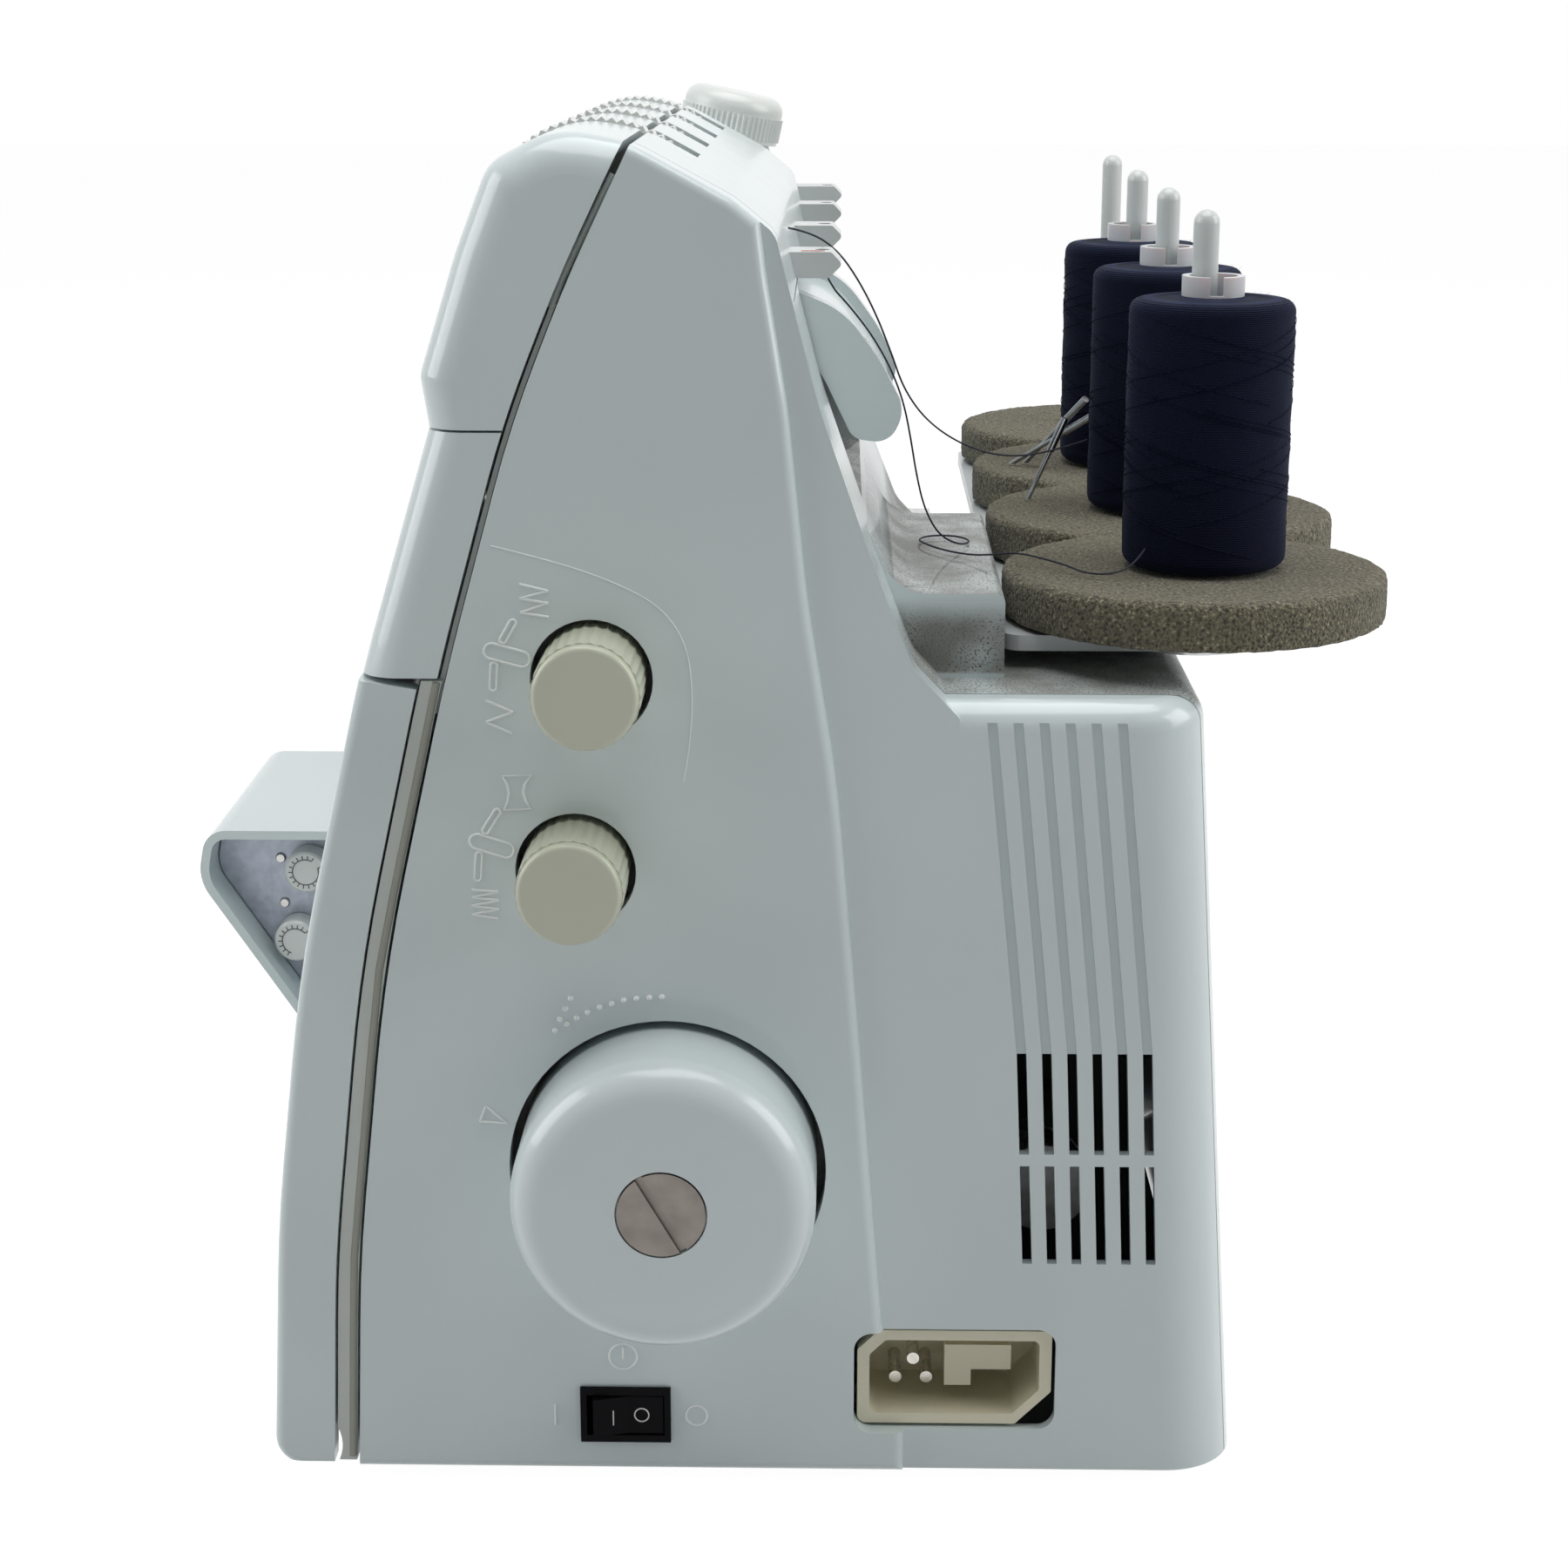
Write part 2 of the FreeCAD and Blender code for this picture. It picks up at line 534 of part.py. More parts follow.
def neck():
    """Solid shelf behind the column, left of the right cover, that carries the thread stand."""
    outline = [
        (34.0, 180.0, 0.0), (34.0, 214.0, 0.0), (36.4, 214.0, 0.0), (43.0, NECK_TOP_Z, 14.0),
        (NECK_END_Y, NECK_TOP_Z, 2.0), (NECK_END_Y, REAR_TOP_Z, 0.0), (60.0, 178.0, 0.0),
    ]
    shelf = prism(outline, NECK_X[0], NECK_X[1])
    return keep_largest(shelf.cut(housing_outer()))


def soft_corner(z0, z1):
    """What a soft right front edge takes off a front cover between two heights."""
    piece = prism(COLUMN_OUTLINE, COLUMN_X, RIGHT_X).common(front_of(FRONT_SEAM, -FRONT_GAP))
    piece = piece.common(block(2 * LEFT_X, 2 * RIGHT_X, -300, 300, z0, z1))
    away_from_seam = front_of(FRONT_SEAM, -2 * FRONT_GAP)
    edges = []
    for edge in end_edges(piece, RIGHT_X):
        middle = edge.valueAt((edge.FirstParameter + edge.LastParameter) / 2)
        if z0 + SEAM < middle.z < z1 - SEAM and away_from_seam.isInside(middle, 0.01, True):
            edges.append(edge)
    return piece.cut(piece.makeFillet(SOFT_EDGE, edges))


def hinged_looper_cover(cover):
    """Looper cover with knuckles on the hinge pin, notches for the lugs, and a top that swings clear."""
    y, z = HINGE_YZ
    front_y = COLUMN_OUTLINE[4][0]
    swing = math.hypot(front_y - y, MIDDLE_SEAM_Z - z) - 0.8 * SEAM
    cover = cover.common(rod_x(swing, COLUMN_X - 1, RIGHT_X + 1, HINGE_YZ))
    lug_r = 2 * HINGE_R + SEAM
    notches = [block(x0 - 1, x1 + 1, y - lug_r, y + 12, FLOOR_Z, z + 5) for x0, x1 in HINGE_LUGS_X]
    knuckles = []
    for x0, x1 in HINGE_KNUCKLES_X:
        knuckles.append(rod_x(2 * HINGE_R, x0, x1, HINGE_YZ))
        knuckles.append(block(x0, x1, y - 4.5, y, z - 2 * HINGE_R, z + 2 * HINGE_R))
    bore = rod_x(HINGE_R + RUNNING, COLUMN_X - 1, RIGHT_X + 1, HINGE_YZ)
    x0, x1 = COLUMN_X + 2 * WALL, RIGHT_X - PANEL_STEP - 2 * WALL
    bore = bore.common(block(x0, x1, y - 9, y + 9, z - 9, z + 9))
    return keep_largest(union(cover.cut(notches), *knuckles).cut(bore))


def front_frame():
    """Moulded frame panel behind the looper cover, seen as a narrow strip along the seam, with hinge lugs."""
    band = front_of(FRONT_SEAM, -SEAM).cut(front_of(FRONT_SEAM, -FRAME_BAND + SEAM))
    limits = block(COLUMN_X + WALL + SEAM, RIGHT_X - 1.0, -200, 100, FLOOR_Z + 1.5, MIDDLE_SEAM_Z - 0.5)
    sweep = rod_x(HINGE_SWEEP_R, COLUMN_X - 1, RIGHT_X + 1, HINGE_YZ)
    panel = keep_largest(band.common(limits).cut(sweep))
    y, z = HINGE_YZ
    lugs = []
    for x0, x1 in HINGE_LUGS_X:
        lugs.append(rod_x(2 * HINGE_R, x0, x1, HINGE_YZ))
        lugs.append(block(x0, x1, y, FRONT_SEAM[0][0] - 1.5, z - 2 * HINGE_R, z + 2 * HINGE_R))
    strip = front_of(FRONT_SEAM, -0.15).cut(front_of(FRONT_SEAM, -FRONT_GAP + 0.4))
    strip = strip.common(block(RIGHT_X - 30, RIGHT_X - 3, -200, 100, MIDDLE_SEAM_Z - 8, TOP_SEAM_Z))
    pin = rod_x(HINGE_R, COLUMN_X, RIGHT_X, HINGE_YZ)
    return keep_largest(union(panel, strip, *lugs).cut(pin))


def head_cover():
    """Shell of the needle head, open to the column, with a window for each bar in its underside."""
    outer = prism(HEAD_OUTLINE, LEFT_X, COLUMN_X - SEAM)
    outer = outer.makeFillet(EDGE_ROUND, end_edges(outer, LEFT_X))
    inner = prism(HEAD_OUTLINE, LEFT_X + WALL, COLUMN_X + 1, WALL)
    half_x, half_y = HEAD_WINDOW
    windows = []
    for x in (PRESSER_X, NEEDLE_X):
        y = bar_y(HEAD_Z)
        windows.append(block(x - half_x, x + half_x, y - half_y, y + half_y, HEAD_Z - 1, HEAD_Z + 2 * WALL))
    lifter_slot = block(LIFTER_X[0] - 4 * SEAM, LIFTER_X[1] + 4 * SEAM, *LIFTER_SLOT_Y, *LIFTER_SLOT_Z)
    stem = bar(PRESSER_X, PRESSURE_STEM_R + SEAM, BOSS_FOOT_Z - 2 * PRESSURE_STEM_DIP, PRESSURE_KNOB_TOP_Z)
    boss = bar(PRESSER_X, BOSS_R[0], BOSS_FOOT_Z, BOSS_FOOT_Z + BOSS_H, BOSS_R[1]).cut(inner)
    return keep_largest(union(outer.cut(inner), boss).cut(windows + [lifter_slot, stem]))


def bed_cover():
    """Shell of the bed below the head, open to the column, with the needle plate's opening in its top."""
    outer = prism(BED_OUTLINE, LEFT_X, COLUMN_X - SEAM)
    rims = [e for e in end_edges(outer, LEFT_X) if e.BoundBox.ZMin > FLOOR_Z + 0.1]
    outer = outer.makeFillet(EDGE_ROUND, rims)
    inner = prism(BED_OUTLINE, LEFT_X + WALL, COLUMN_X + 1, WALL)
    open_floor = block(LEFT_X + WALL, COLUMN_X + 1, -82, 60, FLOOR_Z - 1, FLOOR_Z + 2 * WALL)
    x0, x1 = PLATE_X[0] - PLATE_GAP, PLATE_X[1] + PLATE_GAP
    y0, y1 = PLATE_Y[0] - PLATE_GAP, PLATE_Y[1] + PLATE_GAP
    opening = block(x0, x1, y0, y1, BED_Z - 9, BED_Z + 1)
    slot_x = (KNIFE_X[0] - 4 * SEAM, KNIFE_X[1] + 4 * SEAM)
    knife_slot = block(*slot_x, *KNIFE_SLOT_Y, BED_Z - 9, BED_Z + 1)
    return keep_largest(outer.cut(inner).cut([open_floor, opening, knife_slot]))


def nose_shell():
    """Hollow front end of the bed, open on its right side where the two dials sit."""
    outer = prism(NOSE_OUTLINE, NOSE_LEFT_X, COLUMN_X - SEAM)
    outer = outer.makeFillet(3.0, [e for e in end_edges(outer, NOSE_LEFT_X) if e.BoundBox.YMin < -81])
    inner = prism(NOSE_OUTLINE, NOSE_LEFT_X + WALL, COLUMN_X + 1, WALL)
    bed = prism(BED_OUTLINE, LEFT_X, COLUMN_X + 1, -0.3)
    return keep_largest(outer.cut(inner).cut(bed))


def bar(x, radius, z0, z1, end_radius=None):
    """A round or tapered bar on the tilted axis of the needle head, between two heights on that axis."""
    tilt = math.radians(BAR_TILT)
    along = V(0, math.sin(tilt), math.cos(tilt))
    start = V(x, BAR_TOP[0], BAR_TOP[1]) + along * ((z0 - BAR_TOP[1]) / math.cos(tilt))
    length = (z1 - z0) / math.cos(tilt)
    if end_radius:
        return Part.makeCone(radius, end_radius, length, start, along)
    return Part.makeCylinder(radius, length, start, along)


def bar_y(z):
    return BAR_TOP[0] + (z - BAR_TOP[1]) * math.tan(math.radians(BAR_TILT))


def base_pan():
    """Steel pan under the column, the motor housing and the bed, one plate with a narrow bridge."""
    z0, z1 = FLOOR_Z, FLOOR_Z + PAN_THICK
    x1 = RIGHT_X - PANEL_STEP - WALL - SEAM
    x0 = COLUMN_X + WALL + SEAM
    y1 = REAR_Y - WALL - 2 * SEAM
    cut = REAR_CORNER_ROUND
    corners = [
        V(x0, FRONT_SEAM[0][0] + 1.5, z0), V(x1, FRONT_SEAM[0][0] + 1.5, z0), V(x1, y1 - cut, z0),
        V(x1 - cut, y1, z0), V(x0 + cut, y1, z0), V(x0, y1 - cut, z0),
    ]
    main = Part.Face(Part.makePolygon(corners + corners[:1])).extrude(V(0, 0, PAN_THICK))
    bridge = block(COLUMN_X - 2 * WALL, x0 + 1, BRIDGE_Y[0], BRIDGE_Y[1], z0, z1)
    bed = block(LEFT_X + WALL + SEAM, COLUMN_X - 2 * SEAM, -80, 58, z0, z1)
    return union(main, bridge, bed)


def rubber_feet():
    feet = [Part.makeCylinder(FOOT_R, FLOOR_Z, V(x, y, 0)) for x, y in FOOT_PLACES]
    return Part.makeCompound(feet)


def base_screws():
    """Pan head screws that hold the pan to the frame, seen from below."""
    heads = []
    for x, y in PAN_SCREWS:
        head = Part.makeCylinder(4.0, 1.6, V(x, y, FLOOR_Z - 1.6))
        heads.append(head.cut(block(x - 4, x + 4, y - 0.5, y + 0.5, FLOOR_Z - 2, FLOOR_Z - 0.8)))
    return Part.makeCompound(heads)


def main_frame():
    """Cast frame: floor, two uprights, the head's two guide blocks, and posts for the low shafts."""
    z0 = FLOOR_Z + PAN_THICK
    floor_y = (BRIDGE_Y[0] + 1, BRIDGE_Y[1] - 1)
    floor_x = (LEFT_X + FRAME_INSET, RIGHT_X - SWITCH_DEPTH - SWITCH_ROOM)
    solids = [block(*floor_x, *floor_y, z0, z0 + FRAME_FLOOR)]
    outline = [(y, max(z, z0), r) for y, z, r in FRAME_OUTLINE]
    solids += [prism(outline, x0, x1) for x0, x1 in FRAME_PLATES_X]
    for y0, y1, zb, zt in GUIDE_BLOCKS:
        solids.append(block(PRESSER_X - GUIDE_BLOCK_REACH, FRAME_PLATES_X[1][1], y0, y1, zb, zt))
    ay, az = LIFTER_AXIS
    lift_floor = GUIDE_BLOCKS[0][3]
    near, far = LIFTER_CHEEK
    half = LIFTER_CHEEK_HALF
    for x0, x1 in ((LIFTER_X[0] - far, LIFTER_X[0] - near), (LIFTER_X[1] + near, LIFTER_X[1] + far)):
        solids.append(block(x0, x1, ay - half, ay + half, lift_floor, az + half))
    for x0, x1 in LOW_POSTS_X:
        for y, z in (LOOPER_AXIS, KNIFE_AXIS):
            solids.append(block(x0, x1, y - LOW_POST_HALF, y + LOW_POST_HALF, z0, z + LOW_POST_HALF))
    feed_x = (FEED_X[0][1] + FEED_X[1][0]) / 2
    post_x = (feed_x - FEED_POST_HALF, feed_x + FEED_POST_HALF)
    solids.append(block(*post_x, FEED_Y[0] + FEED_POST_SET, FEED_Y[1], z0, BED_Z - FEED_POST_DROP))
    holes = [rod_x(BUSH_R, FRAME_PLATES_X[1][0], FRAME_PLATES_X[0][1], WHEEL)]
    holes.append(rod_x(SPINDLE_R, FRAME_PLATES_X[1][0], FRAME_PLATES_X[0][1], TENSION_AXIS))
    for place in (STITCH_KNOB, FEED_KNOB):
        holes.append(rod_x(KNOB_STEM_R + RUNNING, FRAME_PLATES_X[0][0] - 1, FRAME_PLATES_X[0][1] + 1, place))
    holes += [bar(x, BAR_R + RUNNING, HEAD_Z, NEEDLE_BAR_TOP_Z) for x in (PRESSER_X, NEEDLE_X)]
    holes.append(rod_x(LIFTER_PIN_R, LIFTER_X[0] - far, LIFTER_X[1] + far, LIFTER_AXIS))
    for axis in (LOOPER_AXIS, KNIFE_AXIS):
        holes.append(rod_x(LOW_SHAFT_R, LOW_POSTS_X[0][0], LOW_POSTS_X[1][1], axis))
    return keep_largest(union(*solids).cut(holes))


def fixed_shafts():
    """Rods that stay still: tension spindle, looper and knife shafts, lifter pin and cover hinge pin."""
    rods = [rod_x(SPINDLE_R, FRAME_PLATES_X[1][0], FRAME_PLATES_X[0][1], TENSION_AXIS)]
    for axis in (LOOPER_AXIS, KNIFE_AXIS):
        rods.append(rod_x(LOW_SHAFT_R, LOW_POSTS_X[0][0], LOW_POSTS_X[1][1], axis))
    rods.append(rod_x(LIFTER_PIN_R, LIFTER_X[0] - 4.5, LIFTER_X[1] + 4.5, LIFTER_AXIS))
    rods.append(rod_x(HINGE_R, HINGE_LUGS_X[0][0], HINGE_LUGS_X[-1][1], HINGE_YZ))
    return Part.makeCompound(rods)


def shaft_bushes():
    rings = []
    for x0, x1 in FRAME_PLATES_X:
        rings.append(rod_x(BUSH_R, x0, x1, WHEEL).cut(rod_x(SHAFT_R + RUNNING, x0, x1, WHEEL)))
    return Part.makeCompound(rings)


def handwheel():
    """Handwheel moulded in one with its belt pulley, bored for the main shaft."""
    face_x = RIGHT_X + WHEEL_PROUD
    wheel = rod_x(WHEEL_R, WHEEL_INNER_X, face_x, WHEEL)
    wheel = wheel.makeFillet(WHEEL_ROUND, end_edges(wheel, face_x))
    hub = rod_x(HUB_R, PULLEY_X[0], WHEEL_INNER_X, WHEEL)
    pulley = rod_x(PULLEY_R, PULLEY_X[0], PULLEY_X[1], WHEEL)
    flange_r = PULLEY_R + BELT_GAP + BELT_THICK
    flanges = [rod_x(flange_r, PULLEY_X[0], PULLEY_X[0] + FLANGE, WHEEL)]
    flanges.append(rod_x(flange_r, PULLEY_X[1] - FLANGE, PULLEY_X[1], WHEEL))
    bore = rod_x(SHAFT_R, PULLEY_X[0] - 1, SHAFT_END_X, WHEEL)
    screw_hole = rod_x(SCREW_R, SHAFT_END_X - 1, face_x, WHEEL)
    seat = rod_x(SCREW_HEAD_R + 0.4, face_x - SCREW_HEAD_H, face_x + 1, WHEEL)
    return union(wheel, hub, pulley, *flanges).cut([bore, screw_hole, seat])


def handwheel_screw():
    face_x = RIGHT_X + WHEEL_PROUD
    head = rod_x(SCREW_HEAD_R, face_x - SCREW_HEAD_H, face_x, WHEEL)
    stem = rod_x(SCREW_R, SHAFT_END_X, face_x - SCREW_HEAD_H, WHEEL)
    y, z = WHEEL
    slot = block(face_x - 0.9, face_x + 1, y - 20, y + 20, z - SCREW_SLOT / 2, z + SCREW_SLOT / 2)
    slot.rotate(V(0, y, z), V(1, 0, 0), SLOT_TURN)
    return union(head, stem).cut(slot)


def main_shaft():
    return rod_x(SHAFT_R, SHAFT_LEFT_X, SHAFT_END_X, WHEEL)


def motor():
    """Universal motor on its foot, with a bored nose for the pulley shaft."""
    y, z = MOTOR_YZ
    x0, x1 = MOTOR_X
    can = rod_x(MOTOR_R, x0, x1 - 8, MOTOR_YZ)
    nose = rod_x(10.0, x1 - 8, x1, MOTOR_YZ)
    foot = block(x0 + 8, x1 - 16, y - 20, y + 20, FLOOR_Z + PAN_THICK, z - 12)
    bore = rod_x(MOTOR_SHAFT_R + RUNNING, x1 - 14, x1 + 1, MOTOR_YZ)
    return union(can, nose, foot).cut(bore)


def motor_pulley():
    shaft = rod_x(MOTOR_SHAFT_R, MOTOR_X[1] - 13, PULLEY_X[1], MOTOR_YZ)
    drum = rod_x(MOTOR_PULLEY_R, PULLEY_X[0], PULLEY_X[1], MOTOR_YZ)
    flange_r = MOTOR_PULLEY_R + BELT_GAP + BELT_THICK
    flanges = [rod_x(flange_r, PULLEY_X[0], PULLEY_X[0] + FLANGE, MOTOR_YZ)]
    flanges.append(rod_x(flange_r, PULLEY_X[1] - FLANGE, PULLEY_X[1], MOTOR_YZ))
    return union(shaft, drum, *flanges)


def belt_loop(grow, x0, x1):
    """The space inside a belt that runs round both pulleys at a distance from their rims."""
    big = V(0, WHEEL[0], WHEEL[1])
    small = V(0, MOTOR_YZ[0], MOTOR_YZ[1])
    r1, r2 = PULLEY_R + grow, MOTOR_PULLEY_R + grow
    across = small - big
    lean = math.acos((r1 - r2) / across.Length)
    base = math.atan2(across.z, across.y)

    def on(centre, radius, angle):
        return centre + V(0, radius * math.cos(angle), radius * math.sin(angle))

    edges = [
        Part.makeLine(on(big, r1, base + lean), on(small, r2, base + lean)),
        Part.Arc(on(small, r2, base + lean), on(small, r2, base), on(small, r2, base - lean)).toShape(),
        Part.makeLine(on(small, r2, base - lean), on(big, r1, base - lean)),
        Part.Arc(on(big, r1, base - lean), on(big, r1, base + math.pi), on(big, r1, base + lean)).toShape(),
    ]
    wire = Part.Wire(edges)
    wire.translate(V(x0, 0, 0))
    return Part.Face(wire).extrude(V(x1 - x0, 0, 0))


def drive_belt():
    middle = (PULLEY_X[0] + PULLEY_X[1]) / 2
    x0, x1 = middle - BELT_WIDTH / 2, middle + BELT_WIDTH / 2
    return belt_loop(BELT_GAP + BELT_THICK, x0, x1).cut(belt_loop(BELT_GAP, x0 - 1, x1 + 1))


def panel_knob(place):
    """Knob with a scalloped skirt, a flat face, and a stem that turns in the frame's right upright."""
    face_x = RIGHT_X + KNOB_PROUD
    foot_x = RIGHT_X - KNOB_SUNK
    skirt = toothed(KNOB_R, 0.3, KNOB_SCALLOPS, V(foot_x, *place), V(face_x - 2 - foot_x, 0, 0))
    cap = rod_x(KNOB_R - 0.4, foot_x, face_x, place)
    cap = cap.makeFillet(1.2, end_edges(cap, face_x))
    return union(skirt, cap, rod_x(KNOB_STEM_R, FRAME_PLATES_X[0][0] - 4, foot_x, place))


def switch_housing():
    y, z = SWITCH_YZ
    w, h = SWITCH_SIZE
    bezel = block(RIGHT_X, RIGHT_X + SWITCH_BEZEL, y - w / 2, y + w / 2, z - h / 2, z + h / 2)
    bw, bh = w / 2 - SWITCH_FLANGE, h / 2 - SWITCH_FLANGE
    body = block(RIGHT_X - SWITCH_DEPTH, RIGHT_X, y - bw, y + bw, z - bh, z + bh)
    rw, rh = ROCKER_SIZE[0] / 2 + 0.9, ROCKER_SIZE[1] / 2 + 0.4
    well = block(RIGHT_X - 9, RIGHT_X + 2, y - rw, y + rw, z - rh, z + rh)
    pivot = Part.makeCylinder(1.0 + RUNNING, h, V(RIGHT_X - ROCKER_PIVOT_DEPTH, y, z - h / 2))
    pivot = pivot.common(block(-500, 500, -500, 500, z - h / 2 + 1.2, z + h / 2 - 1.2))
    return union(bezel, body).cut([well, pivot])


def power_rocker():
    """Rocker with two slanting faces, tipped so that one side is pressed in."""
    y, z = SWITCH_YZ
    w, h = ROCKER_SIZE
    x = RIGHT_X - ROCKER_PIVOT_DEPTH
    top = RIGHT_X + SWITCH_BEZEL
    corners = [
        V(x - 3, y - w / 2, z - h / 2), V(top + 0.8, y - w / 2, z - h / 2), V(top - 0.4, y, z - h / 2),
        V(top + 0.8, y + w / 2, z - h / 2), V(x - 3, y + w / 2, z - h / 2),
    ]
    body = Part.Face(Part.makePolygon(corners + corners[:1])).extrude(V(0, 0, h))
    reach = SWITCH_SIZE[1] / 2 - 1.5
    rocker = union(body, Part.makeCylinder(1.0, 2 * reach, V(x, y, z - reach)))
    rocker.rotate(V(x, y, z), V(0, 0, 1), ROCKER_TILT)
    return rocker


def inlet_outline(width, height, chamfer):
    """Socket outline with one lower corner cut off slantwise and the opposite upper corner stepped."""
    y, z = INLET_YZ
    w, h = width / 2, height / 2
    return [
        (y - w, z - h, 2.0), (y + w - chamfer, z - h, 1.0), (y + w, z - h + chamfer, 1.0),
        (y + w, z + h, 1.5), (y - w + chamfer * 0.6, z + h, 1.0), (y - w, z + h - chamfer * 0.6, 1.0),
    ]


def power_inlet():
    """Appliance inlet: a cream moulding with a deep socket and a tongue across its middle."""
    face_x = RIGHT_X - PANEL_STEP - INLET_SUNK
    w, h = INLET_SIZE
    body = prism(inlet_outline(w - 1.6, h - 1.6, 8.0), face_x - INLET_DEPTH, face_x)
    y, z = INLET_YZ
    sw, sh = INLET_SOCKET
    socket = prism(inlet_outline(sw, sh, 6.0), face_x - INLET_DEPTH + INLET_FLOOR, face_x + 1)
    tongue = block(face_x - INLET_DEPTH, face_x - 6, y - 2, y + 13, z - 1, z + 5)
    step = block(face_x - INLET_DEPTH, face_x - 6, y - 2, y + 4, z - 5, z)
    return union(body.cut(socket), tongue, step)


def inlet_pins():
    """Three contact pins on the floor of the socket."""
    floor_x = RIGHT_X - PANEL_STEP - INLET_SUNK - INLET_DEPTH + INLET_FLOOR
    y, z = INLET_YZ
    pins = [rod_x(INLET_PIN_R, 0, INLET_PIN_LENGTH, (y + dy, z + dz)) for dy, dz in INLET_PINS]
    group = Part.makeCompound(pins)
    group.translate(V(floor_x, 0, 0))
    return group


def tension_dial(x):
    """Thumb wheel with a toothed rim between two plain cheeks."""
    half = TENSION_WIDTH / 2
    rim = toothed(TENSION_R, 0.9, TENSION_TEETH, V(x - half + 1, *TENSION_AXIS), V(TENSION_WIDTH - 2, 0, 0))
    cheeks = rod_x(TENSION_R - 1.2, x - half, x + half, TENSION_AXIS)
    return union(rim, cheeks).cut(rod_x(SPINDLE_R + RUNNING, x - half, x + half, TENSION_AXIS))


def pressure_knob():
    """Knob on the tilted presser bar axis: a domed cap, a ribbed skirt and a stem through the head cover."""
    top = PRESSURE_KNOB_TOP_Z
    foot = top - PRESSURE_KNOB_H
    cap = bar(PRESSER_X, PRESSURE_KNOB_R - 0.5, foot, top)
    rims = [e for e in cap.Edges if e.Closed and e.BoundBox.Center.z > top - 1]
    cap = cap.makeFillet(PRESSURE_KNOB_ROUND, rims)
    rib_z = foot + PRESSURE_RIB_FOOT
    skirt = bar(PRESSER_X, PRESSURE_KNOB_R, rib_z, rib_z + PRESSURE_RIB_H)
    along = skirt.Faces[0].Surface.Axis
    start = V(PRESSER_X, bar_y(rib_z), rib_z)
    ribs = toothed(PRESSURE_KNOB_R, PRESSURE_RIB_DEPTH, PRESSURE_RIBS, start, along * PRESSURE_RIB_H)
    return union(cap, ribs, bar(PRESSER_X, PRESSURE_STEM_R, BOSS_FOOT_Z - PRESSURE_STEM_DIP, rib_z))


def presser_bar():
    """Bar with a collar whose ear rests on the lifter."""
    z = LIFTER_AXIS[1]
    y = bar_y(z)
    collar = bar(PRESSER_X, COLLAR_R, z + 1, z + 8)
    ear = block(PRESSER_X, LIFTER_X[1] - SEAM, y - 3, y + 3, z + 1, z + 8)
    return union(bar(PRESSER_X, BAR_R, *PRESSER_BAR_Z), collar, ear)


def presser_foot():
    """Sole plate with a needle opening, turned up at its toe, on a sleeve that holds the bar's end."""
    z0 = BED_Z + SOLE_GAP
    z1 = z0 + SOLE_THICK
    sole = block(*SOLE_X, *SOLE_Y, z0, z1)
    toe = block(*SOLE_X, SOLE_Y[0] - 6, SOLE_Y[0] + 2, z0, z1)
    toe.rotate(V(0, SOLE_Y[0] + 1, z0), V(1, 0, 0), -TOE_LEAN)
    half = NEEDLE_SLOT_HALF
    opening = block(NEEDLE_X - half, NEEDLE_X + half, *NEEDLE_SLOT_Y, BED_Z, z1 + 1)
    socket = PRESSER_BAR_Z[0]
    sleeve = bar(PRESSER_X, BAR_R + 2, z1 - 1, socket + 10).cut(bar(PRESSER_X, BAR_R, socket, socket + 12))
    above = block(2 * LEFT_X, 0, -300, 300, z0, 300)
    return keep_largest(union(sole, toe, sleeve).cut(opening).common(above))


def foot_lifter():
    """Lever from its pivot in front of the presser bar, under the bar's ear, out through the head's back."""
    y, z = LIFTER_AXIS
    end_y = LIFTER_TAB_Y[0] + LIFTER_TAB_LAP
    low, high = LIFTER_TAB_Z
    tight, wide = LIFTER_BENDS
    arm = [
        (y, z + LIFTER_ARM_HALF, 0.0), (y, z - LIFTER_ARM_HALF, 0.0),
        (end_y, low, tight), (end_y, high, tight),
        (bar_y(z) + LIFTER_EAR_HALF, z + LIFTER_EAR_Z[0], wide),
        (bar_y(z) - LIFTER_EAR_HALF, z + LIFTER_EAR_Z[1], wide),
    ]
    lever = prism(arm, LIFTER_X[0], LIFTER_X[1])
    eye = rod_x(LIFTER_PIN_R + LIFTER_EYE_WALL, LIFTER_X[0], LIFTER_X[1], LIFTER_AXIS)
    tab_x = (LIFTER_X[0] - LIFTER_TAB_SIDE, LIFTER_X[1] + LIFTER_TAB_SIDE)
    tab = block(*tab_x, *LIFTER_TAB_Y, *LIFTER_TAB_Z)
    hole = rod_x(LIFTER_PIN_R + RUNNING, LIFTER_X[0], LIFTER_X[1], LIFTER_AXIS)
    return union(lever, eye, tab).cut(hole)


def needle_bar():
    """Bar with the needle clamp as its thicker lower end."""
    clamp = bar(NEEDLE_X, CLAMP_R, *CLAMP_Z)
    return union(bar(NEEDLE_X, BAR_R, CLAMP_Z[0] + 2, NEEDLE_BAR_TOP_Z), clamp)


def needles():
    """Two needles under the bar's clamp, each a blade that tapers to its point."""
    solids = []
    for x in (NEEDLE_X - NEEDLE_SPREAD, NEEDLE_X + NEEDLE_SPREAD):
        blade = bar(x, NEEDLE_R, NEEDLE_TIP_Z + 4, CLAMP_Z[0])
        point = bar(x, 0.1, NEEDLE_TIP_Z, NEEDLE_TIP_Z + 4, NEEDLE_R)
        solids.append(union(blade, point))
    return Part.makeCompound(solids)


